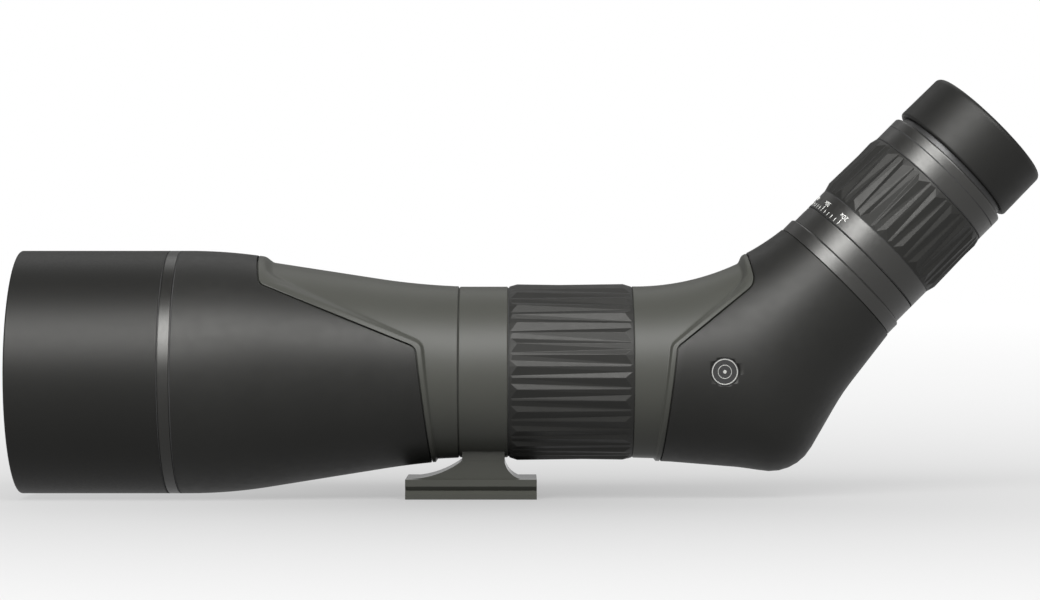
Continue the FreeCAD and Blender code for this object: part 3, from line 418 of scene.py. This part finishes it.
class Edge:
    """An armour edge in the side view: for each height, how far along x it lies."""

    def __init__(self, points, radii, offset=0.0):
        line = rounded_line(points, radii)
        run = np.gradient(line, axis=0)
        normal = np.stack([-run[:, 1], run[:, 0]], axis=1)
        normal /= np.linalg.norm(normal, axis=1)[:, None]
        line = line + normal * offset
        order = np.argsort(line[:, 1])
        self.z = line[order, 1]
        self.x = line[order, 0]

    def past(self, points):
        """How far along x points lie past the edge."""
        return points[:, 0] - np.interp(points[:, 2], self.z, self.x)


def crossing(edge, surface, first, last):
    """For every column, where a surface's running coordinate meets an edge."""
    low = np.full(COLUMNS, float(first))
    high = np.full(COLUMNS, float(last))
    for _ in range(HALVINGS):
        middle = (low + high) / 2
        before = edge.past(surface(middle)) < 0
        low = np.where(before, middle, low)
        high = np.where(before, high, middle)
    return (low + high) / 2


def blend_rows(start, end, count):
    """Evenly spaced coordinates from one row to the next, without the first."""
    return [start + (end - start) * (i / count) for i in range(1, count + 1)]


def eased(share):
    """A share from 0 to 1 with a soft start and end."""
    return share * share * (3 - 2 * share)


# ---------------------------------------------------------------- surfaces of barrel and elbow

LAND_X, LAND_R = traced(BARREL_LAND)
FIELD_X, FIELD_R = traced(BARREL_FIELD)


def barrel_point(x, depth=0.0, field=0.0):
    """The barrel's surface at x; depth lies below it, and field is 1 on the recessed casting."""
    land = np.interp(x, LAND_X, LAND_R)
    low = np.interp(x, FIELD_X, FIELD_R)
    return MAIN.points(x, land + (low - land) * field - depth, ANGLES)


def skin(angle):
    """The armour's thickness at a fan angle in degrees."""
    return SKIN_THIN + SKIN_GROWTH * eased(np.clip(angle / SKIN_ANGLE, 0, 1))


def half_width(angle):
    """Half of the elbow's width across the view at a fan angle in degrees."""
    share = eased(np.clip((angle - NARROW_FROM) / (FAN_ANGLE - NARROW_FROM), 0, 1))
    return HALF_WIDTH + (HALF_WIDTH_END - HALF_WIDTH) * share


HEEL_LINE = rounded_line(HEEL, HEEL_CORNERS) - (FAN_X, FAN_Z)
HEEL_ANGLE = np.degrees(np.arctan2(HEEL_LINE[:, 0], -HEEL_LINE[:, 1]))
HEEL_REACH = np.linalg.norm(HEEL_LINE, axis=1)


def top_reach(angle):
    """Distance from the hinge line to the housing's concave top."""
    x, z, radius = TOP_ARC
    turn = np.radians(angle)
    out = np.stack([np.sin(turn), -np.cos(turn)], axis=-1)
    gap = np.array((FAN_X - x, FAN_Z - z))
    along = out @ gap
    return -along + np.sqrt(along ** 2 - gap @ gap + radius ** 2)


def elbow_point(angle, depth=0.0, field=0.0):
    """The elbow's surface at a fan angle in degrees; depth and field as for the barrel."""
    inset = skin(angle) * field + depth
    near = top_reach(angle) - skin(angle) + inset
    far = np.interp(angle, HEEL_ANGLE, HEEL_REACH) - inset
    across = half_width(angle) - inset
    middle, half = (near + far) / 2, (far - near) / 2
    along = middle - half * np.sin(ANGLES)
    turn = np.radians(angle)
    x = FAN_X + along * np.sin(turn)
    y = -across * np.cos(ANGLES)
    z = FAN_Z - along * np.cos(turn)
    return np.stack([x, y, z], axis=-1)


# ---------------------------------------------------------------- armour and castings

def armour_edge_rows(surface, start, edge, inward):
    """Rows along the armour's outside, round its edge and down into the seam."""
    rows = [surface(t) for t in blend_rows(start, edge(-EDGE_ROUND), ARMOUR_ROWS)]
    rows.append(surface(edge(-EDGE_ROUND * ROUND_FAR), EDGE_ROUND * ROUND_NEAR))
    rows.append(surface(edge(-EDGE_ROUND * ROUND_NEAR), EDGE_ROUND * ROUND_FAR))
    rows.append(surface(edge(0.0), EDGE_ROUND))
    rows.append(surface(edge(0.0), SEAM_DEPTH))
    rows.append(inward(edge(0.0)))
    return rows


def casting_rows(surface, edge, band, bevel, hidden, end):
    """Rows from below the armour, up out of the seam, along the land and down its bevel."""
    rows = [surface(t, 0.0, 1.0) for t in blend_rows(hidden, edge(SEAM), HIDDEN_ROWS)]
    rows.append(surface(edge(SEAM), SEAM_DEPTH))
    rows.append(surface(edge(SEAM), LIP_ROUND))
    lip = edge(SEAM + LIP_ROUND)
    rows.append(surface(lip))
    rows.extend(surface(t) for t in blend_rows(lip, band, LAND_ROWS))
    for step, t in enumerate(blend_rows(band, bevel, BEVEL_ROWS), start=1):
        rows.append(surface(t, 0.0, eased(step / BEVEL_ROWS)))
    rows.extend(surface(t, 0.0, 1.0) for t in blend_rows(bevel, end, CASTING_ROWS))
    return rows


def make_front(rubber, paint):
    """The front armour and the tapered casting that it leaves bare on top."""
    start, end = MAIN.span("front_barrel")
    start_row, end_row = np.full(COLUMNS, start + FRONT_GAP), np.full(COLUMNS, end)

    def edge(offset):
        return crossing(Edge(FRONT_EDGE, FRONT_CORNERS, offset), barrel_point, start, end)

    def under(x):
        return barrel_point(x, UNDER_GAP, 1.0)

    rows = [under(start_row), barrel_point(start_row, END_ROUND)]
    rows.append(barrel_point(start_row + END_ROUND))
    rows += armour_edge_rows(barrel_point, start_row + END_ROUND, edge, under)
    rows += [under(t) for t in blend_rows(edge(0.0), start_row, UNDER_ROWS)][:-1]
    armour = ring_mesh("front_armour_skin", rows, "barrel", rubber)
    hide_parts("front_armour")

    band = crossing(Edge(FRONT_BAND, FRONT_CORNERS), barrel_point, start, end)
    bevel = crossing(Edge(FRONT_BEVEL, FRONT_CORNERS), lambda x: barrel_point(x, 0.0, 1.0), start, end)
    rows = [barrel_point(start_row, 0.0, 1.0)]
    rows += casting_rows(barrel_point, edge, band, bevel, start_row, end_row - FACE_CHAMFER)
    rows.append(barrel_point(end_row, FACE_CHAMFER, 1.0))
    neck = end - NECK_DEPTH
    bore = [(end, NECK_BORE), (neck, NECK_BORE), (neck, NECK_STEP), *BARREL_BORE]
    bore += [(BARREL_BORE[-1][0], CELL_BORE), (start + FRONT_GAP, CELL_BORE)]
    for x, radius in bore:
        rows.append(MAIN.points(np.full(COLUMNS, x), np.full(COLUMNS, radius), ANGLES))
    casting = ring_mesh("front_barrel_casting", rows, "barrel", paint)
    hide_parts("front_barrel")


def make_rear(rubber, paint):
    """The rear armour and the elbow casting that shows in front of it."""
    whole = np.full(COLUMNS, FAN_ANGLE)

    def edge(offset):
        return crossing(Edge(REAR_EDGE, REAR_CORNERS, -offset), elbow_point, 0.0, FAN_ANGLE)

    def under(angle):
        return elbow_point(angle, UNDER_GAP, 1.0)

    seam_end = edge(0.0)
    mouth_row = whole - MOUTH_GAP
    round_row = whole - MOUTH_ROUND
    rows = [under(mouth_row), elbow_point(mouth_row, END_ROUND), elbow_point(round_row)]
    rows += armour_edge_rows(elbow_point, round_row, edge, under)
    rows += [under(t) for t in blend_rows(seam_end, mouth_row, UNDER_ROWS)][:-1]
    armour = ring_mesh("rear_armour_skin", rows[::-1], "barrel", rubber)
    carve(armour, badge_seat(rubber))
    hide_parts("rear_armour")

    band = crossing(Edge(REAR_BAND, REAR_CORNERS), elbow_point, 0.0, FAN_ANGLE)
    bevel = crossing(Edge(REAR_BEVEL, REAR_CORNERS), lambda t: elbow_point(t, 0.0, 1.0), 0.0, FAN_ANGLE)
    face = np.full(COLUMNS, 0.0)
    rows = casting_rows(elbow_point, edge, band, bevel, mouth_row, face + FACE_ANGLE)
    rows.append(elbow_point(face, FACE_CHAMFER, 1.0))
    bore = MAIN.points(np.full(COLUMNS, FAN_X), np.full(COLUMNS, NECK_BORE), ANGLES)
    rows.append(bore)
    rows.append(bore + (HOUSING_NECK, 0.0, 0.0))
    rows += [elbow_point(whole * share, HOUSING_WALL, 1.0) for share in HOUSING_SHARES]
    mouth = EYE.span("eyepiece_lock_ring")[0]
    for distance in (mouth, mouth + EYEPIECE_DEPTH):
        rows.append(EYE.points(np.full(COLUMNS, distance), np.full(COLUMNS, EYEPIECE_BORE), ANGLES))
    casting = ring_mesh("prism_housing_casting", rows[::-1], "barrel", paint)
    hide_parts("prism_housing")


# ---------------------------------------------------------------- ridged grips

def make_grip(name, node, axis, plan, body, material):
    """A rubber sleeve of long flat wedges, high at one end and fading to the other."""
    first, last = axis.span(node)
    length = last - first
    pitch = 360.0 / plan["count"]
    fronts, backs = [], []
    for ridge in range(plan["count"]):
        for (angle_a, radius_a), (angle_b, radius_b) in zip(plan["front"], plan["back"]):
            base = plan["phase"] - pitch * ridge
            fronts.append((base - angle_a, radius_a))
            backs.append((base - angle_b, radius_b))
    angle_a, radius_a = np.radians([a for a, _ in fronts]), np.array([r for _, r in fronts])
    angle_b, radius_b = np.radians([a for a, _ in backs]), np.array([r for _, r in backs])
    start = axis.points(np.full(len(fronts), first), radius_a, angle_a)
    finish = axis.points(np.full(len(fronts), last), radius_b, angle_b)
    fall = (radius_b - radius_a) / length
    slope_a = (plan["high"] - plan["end"]) / plan["bevels"][0]
    slope_b = (plan["high"] - plan["end"]) / plan["bevels"][1]
    meet_a = (radius_a - plan["end"]) / (slope_a - fall)
    meet_b = (radius_b - plan["end"]) / (slope_b + fall)
    ridge_a = start + (finish - start) * (meet_a / length)[:, None]
    ridge_b = finish + (start - finish) * (meet_b / length)[:, None]
    low = np.full(len(fronts), plan["core"])
    end = np.full(len(fronts), plan["end"])
    rows = [
        axis.points(first, low, angle_a),
        axis.points(first, end, angle_a),
        ridge_a,
        ridge_b,
        axis.points(last, end, angle_b),
        axis.points(last, low, angle_b),
    ]
    faces = ring_faces(len(rows), len(fronts), True)
    grip = mesh_object(name, np.concatenate(rows), faces, body, material, None)
    grip.data.shade_flat()
    soften = grip.modifiers.new("soft_edges", "BEVEL")
    soften.width = GRIP_BEVEL * MM
    soften.segments = 2
    soften.limit_method = "ANGLE"
    soften.angle_limit = math.radians(GRIP_BEVEL_ANGLE)
    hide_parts(node)


# ---------------------------------------------------------------- marks

def wrapped(name, flat, axis, distance, radius, angle, body, material):
    """Bend a flat mesh round an axis: its x goes up round the ring and its y back along the axis."""
    corners = np.array([v.co for v in flat.vertices], float)
    turn = math.radians(angle) + corners[:, 0] / radius
    placed = axis.points(distance - corners[:, 1], radius + corners[:, 2], turn)
    faces = [tuple(face.vertices) for face in flat.polygons]
    bpy.data.meshes.remove(flat)
    return mesh_object(name, placed, faces, body, material, None)


def numeral(words, size, lift):
    """A flat mesh of some digits, in mm, centred on x."""
    curve = bpy.data.curves.new("numeral", "FONT")
    curve.body = words
    curve.size = size
    curve.align_x = "CENTER"
    curve.offset = -STROKE_TRIM * size
    curve.extrude = lift
    curve.resolution_u = 4
    writer = bpy.data.objects.new("numeral", curve)
    bpy.context.scene.collection.objects.link(writer)
    bpy.context.view_layer.update()
    flat = bpy.data.meshes.new_from_object(writer)
    bpy.data.objects.remove(writer)
    bpy.data.curves.remove(curve)
    return flat


def bar(width, height, lift):
    """A thin flat strip in mm that stands on y = 0."""
    x, low, high = width / 2, -lift, lift
    corners = [(-x, 0, low), (x, 0, low), (x, height, low), (-x, height, low),
               (-x, 0, high), (x, 0, high), (x, height, high), (-x, height, high)]
    faces = [(0, 3, 2, 1), (4, 5, 6, 7), (0, 1, 5, 4), (1, 2, 6, 5), (2, 3, 7, 6), (3, 0, 4, 7)]
    mesh = bpy.data.meshes.new("bar")
    mesh.from_pydata(corners, [], faces)
    return mesh


def make_scale(ink):
    """Magnifications on the zoom ring, with a long tick at each and short ticks between."""
    first = EYE.span("zoom_ring")[0] + SCALE_MARGIN
    ring_radius = EYE.reach("zoom_ring") + INK_LIFT / 2
    numbers = first + LONG_TICK + DIGIT_GAP + DIGIT_SIZE * CAP_HEIGHT

    def mark(name, flat, distance, angle):
        wrapped(name, flat, EYE, distance, ring_radius, angle, "zoom_ring", ink)

    for number, zoom in enumerate(ZOOMS):
        angle = FIRST_ZOOM_ANGLE + ZOOM_STEP * number
        mark("scale_%d" % zoom, numeral("%dx" % zoom, DIGIT_SIZE, INK_LIFT), numbers, angle)
        mark("tick_%d" % zoom, bar(TICK_WIDTH, -LONG_TICK, INK_LIFT), first, angle)
        if zoom != ZOOMS[-1]:
            for part in range(1, 5):
                mark("tick_%d_%d" % (zoom, part), bar(TICK_WIDTH, -SHORT_TICK, INK_LIFT), first,
                     angle + ZOOM_STEP * part / 5)
    back = EYE.span("eyepiece_base")[1] - SCALE_MARGIN
    radius = EYE.reach("eyepiece_base") + INK_LIFT / 2
    wrapped("zoom_index", bar(INDEX_WIDTH, INDEX_LENGTH, INK_LIFT), EYE, back, radius, 90, "barrel", ink)


def badge_axis():
    """The line through the badge's middle; distances are negative inside the armour."""
    low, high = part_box("badge")
    badge = Axis(np.array(((low.x + high.x) / 2, low.y, (low.z + high.z) / 2)) / MM, (0.0, -1.0, 0.0))
    badge.near = np.array((1.0, 0.0, 0.0))
    badge.up = np.array((0.0, 0.0, 1.0))
    return badge


def badge_seat(material):
    """The round pocket that the badge lies in, as a cutter for the armour."""
    radius = BADGE_RADIUS + UNDER_GAP
    outline = [(-BADGE_DEPTH, radius), (BADGE_CLEAR, radius)]
    return lathe("badge_cutter", badge_axis(), outline, "barrel", material, closed=False,
                 columns=BADGE_COLUMNS)


def make_badge(metal, enamel):
    """A plain medallion: a dark enamel disc with raised rings and a dot."""
    badge = badge_axis()
    deep, rim = -BADGE_DEPTH, BADGE_RADIUS
    low = -2 * BADGE_ROUND
    disc = [
        (deep, BADGE_HOLE),
        (deep, rim),
        (-BADGE_ROUND, rim),
        (0.0, rim - BADGE_ROUND),
        (0.0, rim - BADGE_LIP),
        (low, rim - BADGE_LIP - BADGE_STEP),
        (low, BADGE_HOLE),
    ]
    face = lathe("badge_disc", badge, disc, "barrel", enamel, columns=BADGE_COLUMNS)
    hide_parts("badge")
    for name, inner, outer in BADGE_RINGS:
        outline = [
            (-RING_FOOT, inner),
            (-RING_FOOT, outer),
            (-RING_EDGE, outer),
            (0.0, outer - RING_ROUND),
            (0.0, inner + RING_ROUND),
            (-RING_EDGE, inner),
        ]
        lathe(name, badge, outline, "barrel", metal, columns=BADGE_COLUMNS)


def washer(name, axis, start, end, inner, outer, body, black):
    """A black ring of rectangular section."""
    outline = [(start, inner), (start, outer), (end, outer), (end, inner)]
    lathe(name, axis, outline, body, black)


def gasket(name, axis, station, surface, body, black):
    """A thin black line round an axis that stands just proud of a node's surface."""
    half = GASKET_WIDTHS[name] / 2
    outer = axis.reach(surface) + GASKET_PROUD
    washer(name, axis, station - half, station + half, outer - GASKET_DEPTH, outer, body, black)


def make_seams(black):
    """Black washers and gaskets where rings meet, so that no light shows between them."""
    land = MAIN.span("front_barrel")[1]
    liner = MAIN.span("collar_liner")
    focus = MAIN.span("focus_grip")
    front, back = liner[0] - COLLAR_GAP, liner[1] + COLLAR_GAP
    washer("collar_washer_front", MAIN, land, front, NECK_BORE, COLLAR_FRONT_RADIUS, "barrel", black)
    washer("collar_washer_back", MAIN, back, focus[0], NECK_BORE, COLLAR_BACK_RADIUS, "barrel", black)
    washer("focus_washer", MAIN, focus[1], FAN_X, NECK_BORE, FOCUS_RADIUS, "barrel", black)

    front, back = MAIN.span("name_ring")
    gasket("name_gasket_front", MAIN, front, "name_ring", "barrel", black)
    gasket("name_gasket_back", MAIN, back, "name_ring", "barrel", black)
    lock, base, zoom, grip = (EYE.span(node)[0] for node in (
        "eyepiece_lock_ring", "eyepiece_base", "zoom_ring", "zoom_grip"))
    gasket("lock_gasket", EYE, lock, "eyepiece_lock_ring", "barrel", black)
    gasket("base_gasket", EYE, base, "eyepiece_base", "barrel", black)
    gasket("zoom_gasket", EYE, zoom, "zoom_ring", "zoom_ring", black)
    gasket("grip_gasket_front", EYE, grip, "zoom_ring", "zoom_ring", black)
    front, back = EYE.span("eyepiece_rear_shell")
    gasket("grip_gasket_back", EYE, front, "eyepiece_rear_shell", "barrel", black)
    gasket("shell_gasket", EYE, back, "eyepiece_rear_shell", "barrel", black)


# ---------------------------------------------------------------- materials

class Finish:
    """A node material under construction."""

    def __init__(self, name):
        self.material = bpy.data.materials.new(name)
        self.material.use_nodes = True
        self.tree = self.material.node_tree
        self.shader = self.tree.nodes["Principled BSDF"]
        self.place = self.add("ShaderNodeTexCoord").outputs["Object"]

    def add(self, kind, **settings):
        """A new node of a kind, with its settings."""
        node = self.tree.nodes.new(kind)
        for name, setting in settings.items():
            setattr(node, name, setting)
        return node

    def join(self, start, end):
        """A link from an output to an input."""
        self.tree.links.new(start, end)

    def noise(self, scale, detail):
        """A noise value with features of about 1 / scale metres."""
        node = self.add("ShaderNodeTexNoise")
        node.inputs["Scale"].default_value = scale
        node.inputs["Detail"].default_value = detail
        self.join(self.place, node.inputs["Vector"])
        return node.outputs["Fac"]

    def spread(self, source, low, high):
        """A noise texture's usual range, mapped onto a low and a high value."""
        node = self.add("ShaderNodeMapRange")
        node.inputs["From Min"].default_value = NOISE_LOW
        node.inputs["From Max"].default_value = NOISE_HIGH
        node.inputs["To Min"].default_value = low
        node.inputs["To Max"].default_value = high
        self.join(source, node.inputs["Value"])
        return node.outputs["Result"]

    def tint(self, source, dark, light):
        """Base colour between a dark and a light tone, as the texture says."""
        ramp = self.add("ShaderNodeValToRGB")
        ramp.color_ramp.elements[0].position = NOISE_LOW
        ramp.color_ramp.elements[1].position = NOISE_HIGH
        ramp.color_ramp.elements[0].color = (*dark, 1.0)
        ramp.color_ramp.elements[1].color = (*light, 1.0)
        self.join(source, ramp.inputs["Fac"])
        self.join(ramp.outputs["Color"], self.shader.inputs["Base Color"])

    def rough(self, source, low, high):
        """Roughness between a low and a high value, as the texture says."""
        self.join(self.spread(source, low, high), self.shader.inputs["Roughness"])

    def bump(self, source, height):
        """Relief of a real height in metres."""
        node = self.add("ShaderNodeBump")
        node.inputs["Strength"].default_value = 1.0
        node.inputs["Distance"].default_value = height
        self.join(source, node.inputs["Height"])
        self.join(node.outputs["Normal"], self.shader.inputs["Normal"])

    def set(self, **values):
        """Set the shader's own sockets; an underscore in a name stands for a space."""
        for name, value in values.items():
            self.shader.inputs[name.replace("_", " ")].default_value = value


def shade(value, cast=WHITE):
    """A grey, or a grey with a colour cast."""
    return tuple(value * part for part in cast)


def rubber_finish(name, grey, roughness, specular, grain):
    """Moulded rubber: fine even grain, slow changes of tone, and a soft sheen."""
    finish = Finish(name)
    finish.tint(finish.noise(45, 3), shade(grey * 0.93, FAINT_WARM), shade(grey * 1.07, FAINT_WARM))
    finish.rough(finish.noise(260, 3), roughness - ROUGH_SPREAD, roughness + ROUGH_SPREAD)
    finish.bump(finish.noise(2600, 2), grain)
    finish.set(Specular_IOR_Level=specular, Specular_Tint=SHINE)
    return finish.material


def paint_finish(name, grey, roughness, specular, cast):
    """Bead-blasted and anodised aluminium: a tight grain with a satin shine."""
    finish = Finish(name)
    finish.tint(finish.noise(38, 4), shade(grey * 0.96, cast), shade(grey * 1.04, cast))
    finish.rough(finish.noise(900, 2), roughness - ROUGH_SPREAD, roughness + ROUGH_SPREAD)
    finish.bump(finish.noise(3600, 2), PAINT_GRAIN)
    finish.set(Specular_IOR_Level=specular, Specular_Tint=SHINE)
    return finish.material


def casting_finish(name, grey, roughness, specular, cast):
    """The castings' paint, which is smoother and shinier on the low foot than on the body."""
    finish = Finish(name)
    finish.tint(finish.noise(38, 4), shade(grey * 0.96, cast), shade(grey * 1.04, cast))
    height = finish.add("ShaderNodeSeparateXYZ")
    finish.join(finish.place, height.inputs["Vector"])
    polish = finish.add("ShaderNodeMapRange")
    polish.inputs["From Min"].default_value = FOOT_TOP
    polish.inputs["From Max"].default_value = FOOT_TOP + FOOT_BLEND
    polish.inputs["To Min"].default_value = FOOT_ROUGHNESS
    polish.inputs["To Max"].default_value = roughness
    finish.join(height.outputs["Z"], polish.inputs["Value"])
    finish.join(polish.outputs["Result"], finish.shader.inputs["Roughness"])
    finish.bump(finish.noise(3600, 2), PAINT_GRAIN)
    finish.set(Specular_IOR_Level=specular)
    return finish.material


def turned_finish(name, grey, roughness, specular, axis):
    """Satin metal with the faint lines that the lathe leaves round it."""
    finish = Finish(name)
    along = finish.add("ShaderNodeVectorMath", operation="DOT_PRODUCT")
    along.inputs[1].default_value = tuple(axis.along)
    finish.join(finish.place, along.inputs[0])
    stripe = finish.add("ShaderNodeTexNoise", noise_dimensions="1D")
    stripe.inputs["Scale"].default_value = 5200
    stripe.inputs["Detail"].default_value = 1.0
    finish.join(along.outputs["Value"], stripe.inputs["W"])
    finish.tint(stripe.outputs["Fac"], shade(grey * 0.97, WARM), shade(grey * 1.03, WARM))
    finish.rough(finish.noise(700, 2), roughness - ROUGH_SPREAD, roughness + ROUGH_SPREAD)
    finish.bump(stripe.outputs["Fac"], LATHE_GRAIN)
    finish.set(Specular_IOR_Level=specular, Specular_Tint=SHINE)
    return finish.material


def glass_finish(name, tint, coat):
    """Polished glass under a coloured anti-reflection coat."""
    finish = Finish(name)
    finish.set(Base_Color=(*tint, 1.0), Transmission_Weight=1.0, IOR=1.52)
    finish.rough(finish.noise(30, 2), 0.015, 0.025)
    finish.set(Coat_Weight=0.6, Coat_Roughness=0.03, Coat_Tint=(*coat, 1.0))
    return finish.material


def plain_finish(name, colour, roughness, metallic=0.0):
    """A small hidden or trim part: even colour with a faint texture."""
    finish = Finish(name)
    dark = tuple(c * 0.92 for c in colour)
    light = tuple(c * 1.08 for c in colour)
    finish.tint(finish.noise(300, 3), dark, light)
    finish.rough(finish.noise(1200, 2), roughness - 0.04, roughness + 0.04)
    finish.bump(finish.noise(2400, 2), TRIM_GRAIN)
    finish.set(Metallic=metallic)
    return finish.material


def make_finishes():
    """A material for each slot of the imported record, and a few for the new pieces.

    After its name, a finish has its grey or colour and its roughness. Painted, turned and rubber ones
    also have their specular level, plain ones may have their metallic share, and glass has its own tint
    and that of its coat instead.
    """
    return {
        "hood_paint": paint_finish("hood_black", 0.005, 0.46, 0.175, FAINT_WARM),
        "grey_green_paint": casting_finish("casting_grey_green", 0.026, 0.46, 0.21, GREY_GREEN),
        "satin_ring": turned_finish("eyepiece_satin", 0.005, 0.4, 0.6, EYE),
        "name_ring": turned_finish("name_ring_satin", 0.006, 0.34, 0.4, MAIN),
        "armour_rubber": rubber_finish("armour", 0.006, 0.47, 0.215, RUBBER_GRAIN),
        "grip_rubber": rubber_finish("grip", 0.008, 0.48, 0.22, GRIP_GRAIN),
        "eyecup_rubber": rubber_finish("eyecup", 0.005, 0.5, 0.2, RUBBER_GRAIN),
        "objective_glass": glass_finish("objective_glass", (0.93, 0.97, 0.96), (0.55, 0.82, 0.62)),
        "optical_glass": glass_finish("eyepiece_glass", (0.94, 0.96, 0.97), (0.45, 0.4, 0.8)),
        "black_anodised": plain_finish("black_anodised", (0.012, 0.012, 0.012), 0.45),
        "inner_black": plain_finish("stray_light_black", (0.006, 0.006, 0.006), 0.8),
        "slip_liner": plain_finish("slip_liner", (0.62, 0.6, 0.56), 0.4),
        "seal_rubber": plain_finish("seal_rubber", (0.004, 0.004, 0.004), 0.8),
        "steel": plain_finish("steel", (0.5, 0.5, 0.5), 0.3, 1.0),
        "brass": plain_finish("brass", (0.6, 0.43, 0.18), 0.32, 1.0),
        "badge_metal": plain_finish("badge_enamel", (0.01, 0.01, 0.01), 0.3),
        "badge_rings": plain_finish("badge_rings", (0.5, 0.5, 0.48), 0.32, 0.9),
        "ink": plain_finish("scale_ink", (0.5, 0.5, 0.48), 0.5),
    }


def dress_nodes(finishes):
    """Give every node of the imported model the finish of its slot."""
    slots = {part["node"]: part["material_slot"] for part in frame["record"]["subparts"]}
    for name, node in frame["nodes"].items():
        finish = finishes["name_ring"] if name == "name_ring" else finishes[slots[name]]
        for place in node.material_slots:
            place.material = finish


# ---------------------------------------------------------------- stage

def make_world():
    """A grey studio that is lighter near the floor, in front of a backdrop that looks white."""
    world = bpy.data.worlds.new("studio")
    world.use_nodes = True
    nodes, links = world.node_tree.nodes, world.node_tree.links
    split = nodes.new("ShaderNodeSeparateXYZ")
    links.new(nodes.new("ShaderNodeTexCoord").outputs["Generated"], split.inputs["Vector"])
    fade = nodes.new("ShaderNodeMapRange")
    fade.inputs["From Max"].default_value = ROOM_LEVEL
    fade.inputs["To Min"].default_value = ROOM_LOW
    fade.inputs["To Max"].default_value = ROOM_HIGH
    links.new(split.outputs["Z"], fade.inputs["Value"])
    room = nodes["Background"]
    room.inputs["Color"].default_value = (*WHITE, 1.0)
    links.new(fade.outputs["Result"], room.inputs["Strength"])
    backdrop = nodes.new("ShaderNodeBackground")
    backdrop.inputs["Color"].default_value = (*WHITE, 1.0)
    mix = nodes.new("ShaderNodeMixShader")
    links.new(nodes.new("ShaderNodeLightPath").outputs["Is Camera Ray"], mix.inputs["Fac"])
    links.new(room.outputs["Background"], mix.inputs[1])
    links.new(backdrop.outputs["Background"], mix.inputs[2])
    links.new(mix.outputs["Shader"], nodes["World Output"].inputs["Surface"])
    bpy.context.scene.world = world
    bpy.context.scene.view_settings.view_transform = "Standard"


def make_floor():
    """A pale light table that glows more further out, so that it ends in the white of the backdrop."""
    finish = Finish("pale_floor")
    finish.tint(finish.noise(6, 2), shade(FLOOR_TONE), shade(FLOOR_TONE * 1.02))
    finish.set(Roughness=0.8, Specular_IOR_Level=0.1)
    far = finish.add("ShaderNodeVectorMath", operation="LENGTH")
    finish.join(finish.place, far.inputs[0])
    reach = finish.add("ShaderNodeMath", operation="ADD")
    reach.inputs[1].default_value = FLOOR_FADE
    finish.join(far.outputs["Value"], reach.inputs[0])
    dim = finish.add("ShaderNodeMath", operation="DIVIDE")
    dim.inputs[0].default_value = (1 - FLOOR_GLOW) * FLOOR_FADE
    finish.join(reach.outputs[0], dim.inputs[1])
    glow = finish.add("ShaderNodeMath", operation="SUBTRACT")
    glow.inputs[0].default_value = 1.0
    finish.join(dim.outputs[0], glow.inputs[1])
    finish.join(glow.outputs[0], finish.shader.inputs["Emission Strength"])
    finish.shader.inputs["Emission Color"].default_value = (*WHITE, 1.0)
    mesh = bpy.data.meshes.new("floor")
    low = cad_low[2] - FLOOR_DROP
    corners = [(x * FLOOR_SIZE, y * FLOOR_SIZE, low) for x, y in ((-1, -1), (1, -1), (1, 1), (-1, 1))]
    mesh.from_pydata(corners, [], [(0, 1, 2, 3)])
    mesh.materials.append(finish.material)
    floor = bpy.data.objects.new("floor", mesh)
    bpy.context.scene.collection.objects.link(floor)


def softbox(name, at, towards, size, watts):
    """A rectangular lamp at one point that faces another."""
    light = bpy.data.lights.new(name, "AREA")
    light.shape = "RECTANGLE"
    light.size, light.size_y = size
    light.energy = watts
    lamp = bpy.data.objects.new(name, light)
    lamp.location = at
    lamp.rotation_euler = (Vector(towards) - Vector(at)).to_track_quat("-Z", "Y").to_euler()
    bpy.context.scene.collection.objects.link(lamp)


def make_camera():
    """A level camera that looks along +Y."""
    data = bpy.data.cameras.new("camera")
    data.lens = LENS
    data.sensor_width = SENSOR_WIDTH
    camera = bpy.data.objects.new("camera", data)
    camera.matrix_world = Matrix.Translation(CAMERA_AT) @ Matrix.Rotation(math.radians(90), 4, "X")
    bpy.context.scene.collection.objects.link(camera)
    bpy.context.scene.camera = camera


def main():
    """Build the stage, the finishes and the pieces."""
    make_camera()
    make_world()
    make_floor()
    for name, light in LIGHTS.items():
        softbox(name, **light)
    finishes = make_finishes()
    dress_nodes(finishes)
    make_front(finishes["armour_rubber"], finishes["grey_green_paint"])
    make_rear(finishes["armour_rubber"], finishes["grey_green_paint"])
    make_grip("focus_grip_sleeve", "focus_grip", MAIN, FOCUS_GRIP, "focus_ring", finishes["grip_rubber"])
    make_grip("zoom_grip_sleeve", "zoom_grip", EYE, ZOOM_GRIP, "zoom_ring", finishes["grip_rubber"])
    make_scale(finishes["ink"])
    make_badge(finishes["badge_rings"], finishes["badge_metal"])
    make_seams(finishes["seal_rubber"])
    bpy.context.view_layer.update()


main()
